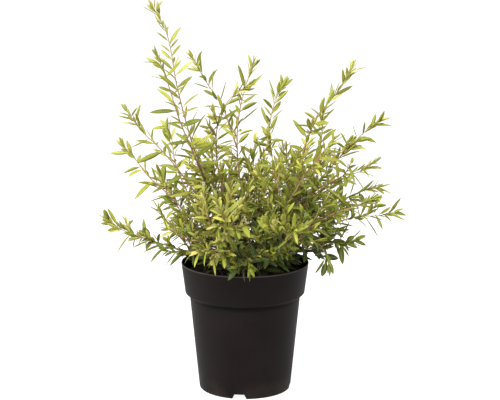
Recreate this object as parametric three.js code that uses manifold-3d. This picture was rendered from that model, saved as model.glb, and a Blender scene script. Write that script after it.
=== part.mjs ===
// Potted myrtle: a small evergreen shrub with many thin leafy stems, in a black nursery pot of soil.
// Millimetres, +Z up. The origin is the middle of the pot's underside, and -Y faces the viewer.

import * as THREE from 'three';
import { mergeVertices } from 'three/addons/utils/BufferGeometryUtils.js';
import Module from 'manifold-3d';

const wasm = await Module();
wasm.setup();

// Sizes of the pot
const POT_HEIGHT = 142.5;
const RIM_RADIUS = 70;
const RIM_LIP = 0.8;
const COLLAR_FOOT_RADIUS = 65.7;
const COLLAR_FOOT_HEIGHT = 108.6;
const WALL_TOP_RADIUS = 61;
const WALL_TOP_HEIGHT = 105.5;
const FOOT_RADIUS = 50.5;
const FOOT_ROUNDING = 1;
const POT_WALL = 1.5;
const POT_SIDES = 36;

// The underside: a flat middle, a raised channel with the drain holes, and a foot ring with four notches
const MIDDLE_RADIUS = 22;
const CHANNEL_SLOPE = 3;
const CHANNEL_HEIGHT = 6;
const FOOT_RING_WIDTH = 4;
const DRAIN_HOLES = 8;
const DRAIN_HOLE_RADIUS = 4;
const DRAIN_CIRCLE_RADIUS = 35;
const DRAIN_HOLE_SIDES = 6;
const NOTCHES = 4;
const NOTCH_FIRST_TURN = -7;
const NOTCH_FOOT_WIDTH = 16;
const NOTCH_TOP_WIDTH = 10.5;
const NOTCH_HEIGHT = 5.5;
const NOTCH_DEPTH = 14;

// The soil, loose and uneven on top
const SOIL_LEVEL = 130;
const SOIL_SIDES = 24;
const SOIL_RINGS = 4;
const SOIL_RIPPLE = 1.6;
const SOIL_RIPPLE_TURNS = { x: 0.21, y: 0.17 };
const SOIL_SWELL = 1;
const SOIL_SWELL_TURNS = { x: 0.07, y: -0.11 };
const SOIL_EDGE_DROP = 2;
const GAP = 0.3;
const HOLE_DEPTH = 25;
const HOLE_SIDES = 5;
const KNEE_RISE = 3;

// Stems and twigs
const STEM_BASE_RADIUS = 1.7;
const STEM_TIP_RADIUS = 0.75;
const TWIG_BASE_RADIUS = 0.95;
const TWIG_TIP_RADIUS = 0.7;
const STEM_SIDES = 4;
const TWIG_SIDES = 3;
const STEM_STEP = 32;
const TWIG_STEP = 34;
const TWIG_PITCH = 17;
const TWIG_LENGTH_LOW = 70;
const TWIG_LENGTH_HIGH = 30;
const TWIG_VIGOUR = [0.75, 1.2];
const TWIG_FIRST = 0.12;
const TWIG_LAST = 0.72;
const TWIG_SHIFT = [0.3, 0.7];
const TWIG_ANGLE = 44;
const TWIG_LIFT = 0.16;
const TWIG_CLEARANCE = 3;
const TWIG_TRIES = 14;
const TWIG_DOME = { middle: [10, 0, 188], reach: [104, 96, 95], lean: 0.2 };

// Leaves: narrow, pointed, one at a time round the stem
const LEAF_LENGTHS = [15, 24];
const LONG_SHOOT = 190;
const LEAF_WIDTH = 4.3;
const LEAF_THICKNESS = 0.9;
const LEAF_PITCH = 5;
const LEAF_PITCH_TIP = 3.2;
const LEAF_TURN = 137.5;
const LEAF_ANGLE_LOW = 64;
const LEAF_ANGLE_TIP = 26;
const LEAF_TIP_SHARE = 0.55;
const LEAF_WANDER = [-18, 22];
const LEAF_VIGOUR = [0.8, 1.2];
const LEAF_BOW = [-0.16, 0.1];
const LEAF_ROLL = [-50, 50];
const END_LEAF_LENGTH = 13;
const END_LEAF_WIDTH = 3.6;
const LEAF_SHOULDER = { along: 0.2, width: 0.75, thickness: 1 };
const LEAF_WAIST = { along: 0.57, width: 1, thickness: 0.9 };
const BARE_SHARE = 0.12;
const BARE_TWIG = 9;
const SOLID_LEAF_EVERY = 10;
const LEAF_TRIES = 9;
const LEAF_SPACING = 0.7;
const LEAF_SUNK = 0.45;

// Stems that show in front, from the soil to the tip: x to the right, y away from the viewer, z up.
// A side shoot leaves its stem at the given share of the stem's length.
const FRONT_STEMS = [
  {
    route: [[-12, -3], [-27, -8, 188], [-43, -15, 236], [-59, -25, 287], [-72, -35, 342], [-82, -42, 398],
      [-101, -46, 434]],
    shoots: [{ from: 0.3, route: [[-52, -34, 262], [-68, -50, 305], [-81, -65, 351], [-94, -75, 390]] }],
  },
  {
    route: [[-2, 10], [-3, 20, 207], [-8, 30, 250], [-8, 38, 288], [1, 42, 332], [14, 45, 366]],
    shoots: [{ from: 0.55, route: [[-25, 45, 307], [-44, 50, 336], [-63, 55, 370]] }],
  },
  {
    route: [[-8, -12], [-23, -17, 220], [-31, -20, 270], [-26, -22, 310], [-7, -25, 334], [13, -25, 342]],
  },
  {
    route: [[9, 13], [28, 30, 205], [31, 50, 243], [27, 70, 277], [36, 85, 313], [49, 95, 337]],
  },
  {
    route: [[12, -2], [44, -10, 190], [57, -15, 225], [64, -25, 274], [77, -30, 307], [104, -38, 344],
      [117, -40, 371]],
    shoots: [{ from: 0.36, route: [[76, -20, 250], [82, -22, 285], [83, -25, 321]] }],
  },
  {
    route: [[20, 6], [50, 12, 192], [81, 22, 227], [110, 30, 259], [135, 35, 283], [160, 35, 299]],
  },
  { route: [[13, -14], [38, -38, 200], [60, -50, 243], [76, -65, 269], [98, -85, 299]] },
  { route: [[22, -7], [65, -25, 211], [96, -38, 241], [124, -45, 252], [144, -50, 268]] },
  { route: [[21, 17], [72, 30, 180], [109, 50, 201], [137, 62, 210], [166, 70, 215]] },
  { route: [[31, -2], [50, -3, 160], [88, 0, 180], [120, 0, 192], [150, 0, 194], [174, 0, 202]] },
  { route: [[24, -18], [48, -37, 170], [90, -55, 206], [119, -68, 219], [144, -75, 232]] },
  {
    route: [[34, -12], [52, -24, 158], [79, -33, 170], [107, -38, 172], [130, -42, 180]],
    shoots: [{ from: 0.35, route: [[82, -55, 169], [88, -64, 158], [89, -72, 144]] }],
  },
  {
    route: [[-31, -2], [-43, -5, 146], [-71, -8, 157], [-112, -12, 172], [-138, -14, 183],
      [-160, -15, 199]],
    shoots: [{ from: 0.2, route: [[-78, 8, 176], [-90, 12, 190], [-102, 12, 209]] }],
  },
  {
    route: [[-22, 8], [-50, 12, 172], [-77, 20, 206], [-107, 25, 233], [-126, 28, 258], [-143, 30, 274]],
  },
  {
    route: [[-20, -12], [-40, -22, 199], [-64, -37, 242], [-89, -54, 277], [-108, -64, 298],
      [-128, -72, 328]],
  },
  {
    route: [[-14, 17], [-40, 27, 170], [-61, 36, 206], [-78, 50, 243], [-84, 60, 276], [-96, 61, 292]],
  },
  { route: [[-12, -28], [-20, -52, 166], [-33, -76, 172], [-57, -104, 176]] },
  { route: [[-2, -22], [-12, -40, 168], [-19, -80, 198], [-23, -118, 229]] },
  { route: [[9, -27], [26, -44, 164], [46, -88, 188], [54, -122, 213]] },
  { route: [[0, -35], [1, -50, 160], [3, -72, 161], [8, -90, 147]] },
  { route: [[-24, -22], [-44, -32, 162], [-66, -44, 181], [-94, -51, 194]] },
  {
    route: [[18, -25], [36, -46, 166], [58, -62, 182], [76, -88, 202]],
    shoots: [{ from: 0.3, route: [[32, -72, 174], [38, -90, 175]] }],
  },
  { route: [[3, 0], [6, -10, 175], [16, -24, 214], [30, -30, 246]] },
  { route: [[-16, -18], [-26, -36, 172], [-40, -58, 206], [-50, -72, 232]] },
];

// Stems at the back, from one rule: they start on an arc in the soil and lean outwards, low and steep in turn
const BACK_STEMS = 8;
const BACK_ARC_RADIUS = 30;
const BACK_ARC_START = 55;
const BACK_ARC_STEP = 13;
const BACK_LEAN_START = 36;
const BACK_LEAN_STEP = 14;
const BACK_LEANS = [34, 60, 46];
const BACK_LENGTHS = [132, 126, 138];
const BACK_RISE = 0.22;

// Colours of the real plant, its soil and its pot
const POT_MATERIAL = { color: 0x2b2827, roughness: 0.45, metalness: 0 };
const SOIL_MATERIAL = { color: 0x2e2119, roughness: 0.95, metalness: 0 };
const LEAF_MATERIAL = { color: 0x87993a, roughness: 0.5, metalness: 0 };

const UP = new THREE.Vector3(0, 0, 1);
const radians = THREE.MathUtils.degToRad;
const mix = THREE.MathUtils.lerp;

// A fixed number from 0 to 1 for each stem, shoot and place on it
function chance(stem, shoot, place) {
  const wave = Math.sin((stem + 1) * 12.9898 + (shoot + 1) * 78.233 + (place + 1) * 37.719) * 43758.5453;
  return wave - Math.floor(wave);
}

function spread([low, high], share) {
  return mix(low, high, share);
}

// A closed solid from a three.js geometry, with its faces turned outwards
function solidOf(geometry) {
  const bare = geometry.clone();
  bare.deleteAttribute('normal');
  bare.deleteAttribute('uv');
  const merged = mergeVertices(bare, 1e-4);
  const vertices = new Float32Array(merged.attributes.position.array);
  const triangles = [];
  let volume = 0;
  const [a, b, c] = [new THREE.Vector3(), new THREE.Vector3(), new THREE.Vector3()];
  for (let i = 0; i < merged.index.count; i += 3) {
    const corners = [0, 1, 2].map((k) => merged.index.getX(i + k));
    if (new Set(corners).size < 3) continue;
    [a, b, c].forEach((point, k) => point.fromArray(vertices, 3 * corners[k]));
    volume += a.dot(b.cross(c));
    triangles.push(corners);
  }
  const outwards = triangles.map((t) => (volume < 0 ? [t[0], t[2], t[1]] : t));
  const mesh = new wasm.Mesh({
    numProp: 3,
    vertProperties: vertices,
    triVerts: new Uint32Array(outwards.flat()),
  });
  return new wasm.Manifold(mesh);
}

function geometryOf(solid) {
  const mesh = solid.getMesh();
  const geometry = new THREE.BufferGeometry();
  geometry.setAttribute('position', new THREE.BufferAttribute(new Float32Array(mesh.vertProperties), 3));
  geometry.setIndex(new THREE.BufferAttribute(new Uint32Array(mesh.triVerts), 1));
  geometry.computeVertexNormals();
  return geometry;
}

function piece(name, solid, look) {
  const mesh = new THREE.Mesh(geometryOf(solid), new THREE.MeshStandardMaterial(look));
  mesh.name = name;
  return mesh;
}

// Rings of points joined into one closed skin, with a flat or a pointed start and a pointed end
function skin(rings, point, startPoint) {
  const sides = rings[0].length;
  const corners = rings.flat();
  const triangles = [];
  for (let side = 1; side < sides - 1 && !startPoint; side += 1) {
    triangles.push(0, side + 1, side);
  }
  for (let ring = 0; ring < rings.length - 1; ring += 1) {
    for (let side = 0; side < sides; side += 1) {
      const next = (side + 1) % sides;
      const [a, b] = [ring * sides + side, ring * sides + next];
      triangles.push(a, b, b + sides, a, b + sides, a + sides);
    }
  }
  const last = (rings.length - 1) * sides;
  corners.push(point, startPoint ?? rings[0][0]);
  for (let side = 0; side < sides; side += 1) {
    const next = (side + 1) % sides;
    triangles.push(last + side, last + next, corners.length - 2);
    if (startPoint) triangles.push(next, side, corners.length - 1);
  }
  const geometry = new THREE.BufferGeometry();
  const positions = corners.flatMap((corner) => corner.toArray());
  geometry.setAttribute('position', new THREE.BufferAttribute(new Float32Array(positions), 3));
  geometry.setIndex(triangles);
  return geometry;
}

// The outline of the pot's wall, from the middle of its underside round the rim to the middle of its floor
function potOutline() {
  const floor = CHANNEL_HEIGHT + POT_WALL;
  const ringInside = FOOT_RADIUS - FOOT_ROUNDING - FOOT_RING_WIDTH;
  return [
    [0, 0],
    [MIDDLE_RADIUS, 0],
    [MIDDLE_RADIUS + CHANNEL_SLOPE, CHANNEL_HEIGHT],
    [ringInside - CHANNEL_SLOPE, CHANNEL_HEIGHT],
    [ringInside, 0],
    [FOOT_RADIUS - FOOT_ROUNDING, 0],
    [FOOT_RADIUS, FOOT_ROUNDING],
    [WALL_TOP_RADIUS, WALL_TOP_HEIGHT],
    [COLLAR_FOOT_RADIUS, COLLAR_FOOT_HEIGHT],
    [RIM_RADIUS, POT_HEIGHT - RIM_LIP],
    [RIM_RADIUS - RIM_LIP, POT_HEIGHT],
    [RIM_RADIUS - POT_WALL, POT_HEIGHT - RIM_LIP],
    ...potInside(),
    [MIDDLE_RADIUS + CHANNEL_SLOPE - POT_WALL, floor],
    [MIDDLE_RADIUS - POT_WALL, POT_WALL],
    [0, POT_WALL],
  ];
}

// The inner face of the wall, from under the rim down to the floor
function potInside() {
  const floor = CHANNEL_HEIGHT + POT_WALL;
  return [
    [COLLAR_FOOT_RADIUS - POT_WALL, COLLAR_FOOT_HEIGHT + POT_WALL],
    [WALL_TOP_RADIUS - POT_WALL, WALL_TOP_HEIGHT + POT_WALL],
    [FOOT_RADIUS - POT_WALL, floor],
  ];
}

function turned(outline, sides) {
  const points = outline.map(([radius, height]) => new THREE.Vector2(radius, height));
  return new THREE.LatheGeometry(points, sides).rotateX(Math.PI / 2);
}

function drainHole(index) {
  const radius = DRAIN_HOLE_RADIUS;
  const hole = new THREE.CylinderGeometry(radius, radius, 4 * POT_WALL, DRAIN_HOLE_SIDES);
  hole.rotateX(Math.PI / 2);
  hole.translate(DRAIN_CIRCLE_RADIUS, 0, CHANNEL_HEIGHT);
  hole.rotateZ((2 * Math.PI * (index + 0.5)) / DRAIN_HOLES);
  return hole;
}

function footNotch(index) {
  const below = -1;
  const flare = (NOTCH_FOOT_WIDTH - NOTCH_TOP_WIDTH) / 2 / NOTCH_HEIGHT;
  const half = NOTCH_FOOT_WIDTH / 2 - flare * below;
  const outline = new THREE.Shape([
    new THREE.Vector2(-half, below),
    new THREE.Vector2(half, below),
    new THREE.Vector2(NOTCH_TOP_WIDTH / 2, NOTCH_HEIGHT),
    new THREE.Vector2(-NOTCH_TOP_WIDTH / 2, NOTCH_HEIGHT),
  ]);
  const notch = new THREE.ExtrudeGeometry(outline, { depth: NOTCH_DEPTH, bevelEnabled: false });
  notch.rotateX(Math.PI / 2);
  notch.translate(0, -FOOT_RADIUS + NOTCH_DEPTH / 2, 0);
  notch.rotateZ(radians(NOTCH_FIRST_TURN) + (2 * Math.PI * index) / NOTCHES);
  return notch;
}

function pot() {
  let solid = solidOf(turned(potOutline(), POT_SIDES));
  for (let index = 0; index < DRAIN_HOLES; index += 1) {
    solid = solid.subtract(solidOf(drainHole(index)));
  }
  for (let index = 0; index < NOTCHES; index += 1) {
    solid = solid.subtract(solidOf(footNotch(index)));
  }
  return solid;
}

function soilHeight(x, y) {
  const reach = Math.hypot(x, y) / RIM_RADIUS;
  const ripple = SOIL_RIPPLE * Math.sin(x * SOIL_RIPPLE_TURNS.x + 1) * Math.cos(y * SOIL_RIPPLE_TURNS.y);
  const swell = SOIL_SWELL * Math.sin(x * SOIL_SWELL_TURNS.x + y * SOIL_SWELL_TURNS.y);
  return SOIL_LEVEL + (ripple + swell) * (1 - reach) - SOIL_EDGE_DROP * reach * reach;
}

// The soil fills the pot: its sides follow the inside of the wall, and a rule raises and lowers its top
function soilBlock() {
  const flatOfSide = RIM_RADIUS * (1 - Math.cos(Math.PI / POT_SIDES));
  const clear = GAP + flatOfSide;
  const floor = CHANNEL_HEIGHT + POT_WALL + GAP;
  const inside = potInside();
  const [collarFoot, wallTop, wallFoot] = inside;
  const rimInside = RIM_RADIUS - POT_WALL;
  const collarSlope = (rimInside - collarFoot[0]) / (POT_HEIGHT - RIM_LIP - collarFoot[1]);
  const edgeLevel = SOIL_LEVEL - SOIL_EDGE_DROP;
  const edge = collarFoot[0] + collarSlope * (edgeLevel - collarFoot[1]) - clear;
  const outline = [
    [0, POT_WALL + GAP],
    [MIDDLE_RADIUS - POT_WALL - GAP, POT_WALL + GAP],
    [MIDDLE_RADIUS + CHANNEL_SLOPE - POT_WALL - GAP, floor],
    [wallFoot[0] - clear, floor],
    [wallTop[0] - clear, wallTop[1] + GAP],
    [collarFoot[0] - clear, collarFoot[1] + GAP],
  ];
  for (let ring = SOIL_RINGS; ring >= 0; ring -= 1) {
    outline.push([(edge * ring) / SOIL_RINGS, edgeLevel]);
  }
  const block = turned(outline, SOIL_SIDES);
  const place = block.attributes.position;
  for (let i = 0; i < place.count; i += 1) {
    if (place.getZ(i) > edgeLevel - 1) place.setZ(i, soilHeight(place.getX(i), place.getY(i)));
  }
  return solidOf(block);
}

// A plain round hole in the soil for the foot of each stem
function stemHole([x, y]) {
  const radius = (STEM_BASE_RADIUS + GAP) / Math.cos(Math.PI / HOLE_SIDES);
  const hole = new THREE.CylinderGeometry(radius, radius, 2 * HOLE_DEPTH, HOLE_SIDES);
  return hole.rotateX(Math.PI / 2).translate(x, y, SOIL_LEVEL);
}

function soil(stems) {
  let solid = soilBlock();
  for (const stem of stems) {
    solid = solid.subtract(solidOf(stemHole(stem.root)));
  }
  return solid;
}

// A shoot is a smooth curve through its points, with a side direction that stays square to its lean.
// A stem also has a straight foot below its curve.
function makeShoot(points, radii, sides, step, foot) {
  const curve = new THREE.CatmullRomCurve3(points, false, 'centripetal');
  const lean = new THREE.Vector3().subVectors(points[points.length - 1], points[0]);
  const across = new THREE.Vector3().crossVectors(lean, UP);
  if (across.length() < 1e-3) across.set(1, 0, 0);
  const length = curve.getLength();
  const wood = 1 - END_LEAF_LENGTH / length;
  const shoot = { curve, length, wood, across: across.normalize(), radii, sides, step, foot };
  shoot.links = linksOf(shoot);
  return shoot;
}

// Side and upper direction of a shoot, square to the way it runs
function frameAlong(shoot, tangent) {
  const side = shoot.across.clone().addScaledVector(tangent, -shoot.across.dot(tangent)).normalize();
  const over = new THREE.Vector3().crossVectors(side, tangent);
  return { tangent, side, over };
}

function frameAt(shoot, share) {
  return frameAlong(shoot, shoot.curve.getTangentAt(share));
}

function radiusAt(shoot, share) {
  return mix(shoot.radii[0], shoot.radii[1], share);
}

function stepsOf(shoot) {
  return Math.max(2, Math.round((shoot.wood * shoot.length) / shoot.step));
}

// The middle of the shoot's own straight steps, where twigs and leaves take root
function axisPoint(shoot, share) {
  const steps = stepsOf(shoot);
  const place = (share / shoot.wood) * steps;
  const step = Math.min(Math.floor(place), steps - 1);
  const from = shoot.curve.getPointAt((shoot.wood * step) / steps);
  return from.lerp(shoot.curve.getPointAt((shoot.wood * (step + 1)) / steps), place - step);
}

// Straight links along a shoot, used to keep pieces apart
function linksOf(shoot) {
  const count = Math.max(3, Math.round(shoot.length / 10));
  const points = shoot.curve.getSpacedPoints(count);
  return points.slice(1).map((end, i) => ({
    start: points[i],
    end,
    radius: radiusAt(shoot, i / count),
  }));
}

// Corners round a point of a shoot, as wide to the sides as asked and as thick over and under
function ringAt(shoot, centre, { side, over }, wide, thick) {
  const ring = [];
  for (let corner = 0; corner < shoot.sides; corner += 1) {
    const turn = (2 * Math.PI * corner) / shoot.sides + Math.PI / 2;
    const point = centre.clone().addScaledVector(side, wide * Math.cos(turn));
    ring.push(point.addScaledVector(over, thick * Math.sin(turn)));
  }
  return ring;
}

// The skin of a shoot: its foot if it has one, its wood, and the leaf that it ends in
function shootSkin(shoot) {
  const steps = stepsOf(shoot);
  const rings = [];
  if (shoot.foot) {
    rings.push(ringAt(shoot, shoot.foot, frameAlong(shoot, UP), shoot.radii[0], shoot.radii[0]));
  }
  for (let step = 0; step <= steps; step += 1) {
    const share = (shoot.wood * step) / steps;
    const frame = frameAt(shoot, share);
    const knee = shoot.foot && step === 0;
    const bisected = knee ? frameAlong(shoot, frame.tangent.add(UP).normalize()) : frame;
    const radius = radiusAt(shoot, share);
    rings.push(ringAt(shoot, shoot.curve.getPointAt(share), bisected, radius, radius));
  }
  for (const { along, width, thickness } of [LEAF_SHOULDER, LEAF_WAIST]) {
    const share = mix(shoot.wood, 1, along);
    const wide = (END_LEAF_WIDTH * width) / 2;
    const thick = (LEAF_THICKNESS * thickness) / 2;
    rings.push(ringAt(shoot, shoot.curve.getPointAt(share), frameAt(shoot, share), wide, thick));
  }
  return skin(rings, shoot.curve.getPointAt(1));
}

// Shortest distance between two straight links
function linkDistance(one, two) {
  const u = new THREE.Vector3().subVectors(one.end, one.start);
  const v = new THREE.Vector3().subVectors(two.end, two.start);
  const w = new THREE.Vector3().subVectors(one.start, two.start);
  const [a, b, c, d, e] = [u.dot(u), u.dot(v), v.dot(v), u.dot(w), v.dot(w)];
  const clamp = THREE.MathUtils.clamp;
  const square = a * c - b * b;
  let s = square > 1e-9 ? clamp((b * e - c * d) / square, 0, 1) : 0;
  const t = clamp((b * s + e) / c, 0, 1);
  s = clamp((b * t - d) / a, 0, 1);
  return w.addScaledVector(u, s).addScaledVector(v, -t).length();
}

function isClear(link, others, space) {
  return others.every((other) => {
    const reach = link.radius + other.radius + space;
    return far(link, other, reach) || linkDistance(link, other) > reach;
  });
}

// True where the boxes round two links are already further apart than the reach
function far(one, two, reach) {
  return ['x', 'y', 'z'].some((axis) => {
    const [oneLow, oneHigh] = [one.start[axis], one.end[axis]].sort((a, b) => a - b);
    const [twoLow, twoHigh] = [two.start[axis], two.end[axis]].sort((a, b) => a - b);
    return Math.max(oneLow, twoLow) - Math.min(oneHigh, twoHigh) > reach;
  });
}

// The stems at the back, each as a route from its root outwards
function backStem(index) {
  const start = radians(BACK_ARC_START + BACK_ARC_STEP * index);
  const root = [BACK_ARC_RADIUS * Math.cos(start), BACK_ARC_RADIUS * Math.sin(start)];
  const towards = radians(BACK_LEAN_START + BACK_LEAN_STEP * index);
  const lean = radians(BACK_LEANS[index % BACK_LEANS.length]);
  const length = BACK_LENGTHS[index % BACK_LENGTHS.length];
  const route = [root];
  for (const share of [0.4, 0.7, 1]) {
    const out = length * share * Math.sin(lean);
    const rise = length * share * (Math.cos(lean) + BACK_RISE * share);
    route.push([
      root[0] + out * Math.cos(towards),
      root[1] + out * Math.sin(towards),
      SOIL_LEVEL + KNEE_RISE + rise,
    ]);
  }
  return { route };
}

// A twig leaves its stem sideways and lifts towards its tip; turn says which way round the stem it points
function twigShoot(stem, share, turn, length) {
  const { tangent, side, over } = frameAt(stem, share);
  const start = axisPoint(stem, share);
  const out = side.clone().multiplyScalar(Math.cos(turn)).addScaledVector(over, Math.sin(turn));
  const angle = radians(TWIG_ANGLE);
  const way = tangent.clone().multiplyScalar(Math.cos(angle)).addScaledVector(out, Math.sin(angle));
  const middle = start.clone().addScaledVector(way, length / 2);
  const end = start.clone().addScaledVector(way, length).addScaledVector(UP, length * TWIG_LIFT);
  return makeShoot([start, middle, end], [TWIG_BASE_RADIUS, TWIG_TIP_RADIUS], TWIG_SIDES, TWIG_STEP);
}

// Main shoots and side shoots of all stems, as they are set out by hand or by the rule of the back stems
function plantStems() {
  const plans = [...FRONT_STEMS];
  for (let index = 0; index < BACK_STEMS; index += 1) {
    plans.push(backStem(index));
  }
  return plans.map((plan) => {
    const [x, y] = plan.route[0];
    const foot = new THREE.Vector3(x, y, SOIL_LEVEL - HOLE_DEPTH + GAP);
    const knee = new THREE.Vector3(x, y, SOIL_LEVEL + KNEE_RISE);
    const points = [knee, ...plan.route.slice(1).map((point) => new THREE.Vector3(...point))];
    const main = makeShoot(points, [STEM_BASE_RADIUS, STEM_TIP_RADIUS], STEM_SIDES, STEM_STEP, foot);
    const shoots = [main];
    for (const side of plan.shoots ?? []) {
      const start = axisPoint(main, side.from);
      const along = [start, ...side.route.map((point) => new THREE.Vector3(...point))];
      shoots.push(makeShoot(along, [radiusAt(main, side.from), STEM_TIP_RADIUS], STEM_SIDES, STEM_STEP));
    }
    return { root: plan.route[0], shoots };
  });
}

// Twigs on each stem, turned round it until they are clear of all that already grows there
function addTwigs(stems) {
  const links = stems.flatMap((stem) => stem.shoots.flatMap((shoot) => shoot.links));
  stems.forEach((stem, stemIndex) => {
    const main = stem.shoots[0];
    const twigs = Math.round(((TWIG_LAST - TWIG_FIRST) * main.length) / TWIG_PITCH);
    for (let twig = 0; twig < twigs; twig += 1) {
      const shift = spread(TWIG_SHIFT, chance(stemIndex, 0, twig));
      const share = mix(TWIG_FIRST, TWIG_LAST, (twig + shift) / twigs);
      const vigour = spread(TWIG_VIGOUR, chance(stemIndex, 1, twig));
      const length = mix(TWIG_LENGTH_LOW, TWIG_LENGTH_HIGH, share) * vigour;
      const firstTurn = 360 * chance(stemIndex, 2, 0) + LEAF_TURN * twig;
      for (let attempt = 0; attempt < TWIG_TRIES; attempt += 1) {
        const turn = radians(firstTurn + (360 / TWIG_TRIES) * attempt);
        const shoot = twigShoot(main, share, turn, length);
        const free = shoot.links.slice(1);
        const inPlace = aboveRim(shoot) && inDome(shoot.curve.getPointAt(1));
        if (inPlace && free.every((link) => isClear(link, links, TWIG_CLEARANCE))) {
          stem.shoots.push(shoot);
          links.push(...shoot.links);
          break;
        }
      }
    }
  });
}

// Twigs stay clear of the pot and the soil
function aboveRim(shoot) {
  return shoot.links.every((link) => link.end.z > POT_HEIGHT + 8);
}

// Twigs fill the middle of the plant and end inside a dome, a little higher on the right.
// Only the stems stick out of it.
function inDome(point) {
  const { middle, reach, lean } = TWIG_DOME;
  const upright = [point.x, point.y, point.z - lean * (point.x - middle[0])];
  const shares = upright.map((value, axis) => (value - middle[axis]) / reach[axis]);
  return Math.hypot(...shares) < 1;
}

// Leaf places along a shoot: closer together and smaller towards the tip
function leafPlaces(shoot, isMain) {
  const places = [];
  let along = isMain ? BARE_SHARE * shoot.length : BARE_TWIG;
  while (along < shoot.length * shoot.wood) {
    places.push(along / shoot.length);
    along += mix(LEAF_PITCH, LEAF_PITCH_TIP, (along / shoot.length) ** 3);
  }
  return places;
}

// One leaf: its root in the middle of the shoot, its way out, its upper side and its length
function leafPlan(shoot, share, turn, stemIndex, shootIndex, place) {
  const { tangent, side, over } = frameAt(shoot, share);
  const out = side.clone().multiplyScalar(Math.cos(turn)).addScaledVector(over, Math.sin(turn));
  const opening = mix(LEAF_ANGLE_LOW, LEAF_ANGLE_TIP, share * share);
  const wander = spread(LEAF_WANDER, chance(stemIndex, shootIndex, place + 0.25));
  const angle = radians(opening + wander);
  const way = tangent.clone().multiplyScalar(Math.cos(angle)).addScaledVector(out, Math.sin(angle));
  const flat = tangent.clone().addScaledVector(way, -tangent.dot(way)).normalize();
  const roll = radians(spread(LEAF_ROLL, chance(stemIndex, shootIndex, place + 0.4)));
  const upper = flat.applyAxisAngle(way, roll);
  const root = axisPoint(shoot, share).addScaledVector(way, -LEAF_SUNK);
  const vigour = spread(LEAF_VIGOUR, chance(stemIndex, shootIndex, place + 0.5));
  const full = spread(LEAF_LENGTHS, Math.min(1, shoot.length / LONG_SHOOT));
  const length = full * mix(1, LEAF_TIP_SHARE, share ** 4) * vigour;
  const bow = spread(LEAF_BOW, chance(stemIndex, shootIndex, place + 0.75));
  return { root, way, upper, length, bow };
}

function leafPoint(leaf, along) {
  const point = leaf.root.clone().addScaledVector(leaf.way, leaf.length * along);
  return point.addScaledVector(leaf.upper, leaf.length * leaf.bow * along * along);
}

// A leaf blade of three-sided section: two edges and a rib below
function leafSkin(leaf) {
  const across = new THREE.Vector3().crossVectors(leaf.way, leaf.upper);
  const rings = [LEAF_SHOULDER, LEAF_WAIST].map(({ along, width, thickness }) => {
    const centre = leafPoint(leaf, along);
    const half = (LEAF_WIDTH * width) / 2;
    return [
      centre.clone().addScaledVector(across, half),
      centre.clone().addScaledVector(across, -half),
      centre.clone().addScaledVector(leaf.upper, -LEAF_THICKNESS * thickness),
    ];
  });
  return skin(rings, leafPoint(leaf, 1), leaf.root);
}

function leafLink(leaf) {
  return { start: leafPoint(leaf, 0.12), end: leafPoint(leaf, 1), radius: LEAF_WIDTH / 2 };
}

function clearOfPot(link) {
  const overPot = Math.hypot(link.end.x, link.end.y) < RIM_RADIUS + LEAF_WIDTH;
  return link.end.z > (overPot ? POT_HEIGHT + LEAF_WIDTH : POT_HEIGHT / 2);
}

// Leaves on every shoot: each keeps clear of the other stems and of the leaves that are already there
function addLeaves(stems) {
  const leafLinks = [];
  const shootLinks = stems.map((stem) => stem.shoots.flatMap((shoot) => shoot.links));
  stems.forEach((stem, stemIndex) => {
    stem.leaves = [];
    const otherLinks = shootLinks.filter((_, index) => index !== stemIndex).flat();
    stem.shoots.forEach((shoot, shootIndex) => {
      const places = leafPlaces(shoot, shootIndex === 0);
      const firstTurn = 360 * chance(stemIndex, shootIndex, 5);
      places.forEach((share, place) => {
        const fromTip = places.length - 1 - place;
        if (fromTip % SOLID_LEAF_EVERY !== 0) return;
        for (let attempt = 0; attempt < LEAF_TRIES; attempt += 1) {
          const turn = radians(firstTurn + LEAF_TURN * place + (360 / LEAF_TRIES) * attempt);
          const leaf = leafPlan(shoot, share, turn, stemIndex, shootIndex, place);
          const link = leafLink(leaf);
          const clear = isClear(link, otherLinks, LEAF_SPACING) && isClear(link, leafLinks, LEAF_SPACING);
          if (clear && clearOfPot(link)) {
            stem.leaves.push(leaf);
            leafLinks.push(link);
            break;
          }
        }
      });
    });
  });
}

function leafyStem(stem) {
  const parts = [...stem.shoots.map(shootSkin), ...stem.leaves.map(leafSkin)];
  return parts.map(solidOf).reduce((whole, part) => whole.add(part));
}

const stems = plantStems();
addTwigs(stems);
addLeaves(stems);

const pottedMyrtle = new THREE.Group();
pottedMyrtle.add(piece('pot', pot(), POT_MATERIAL));
pottedMyrtle.add(piece('soil', soil(stems), SOIL_MATERIAL));
stems.forEach((stem, index) => {
  const name = `leafy_stem_${String(index + 1).padStart(2, '0')}`;
  pottedMyrtle.add(piece(name, leafyStem(stem), LEAF_MATERIAL));
});

export default pottedMyrtle;
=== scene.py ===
# %% [markdown]
# # A potted myrtle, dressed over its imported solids
# The object is a small evergreen shrub in a black nursery pot. Many thin stems leave the soil close
# together, and narrow pointed leaves stand one at a time round every shoot.
#
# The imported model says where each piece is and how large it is. Each step below makes one piece or one
# finish as it is on the real plant. The solids carry only some of the leaves, and the steps add the others.

import math

import bmesh
import bpy
import numpy as np
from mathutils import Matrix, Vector, noise


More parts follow.
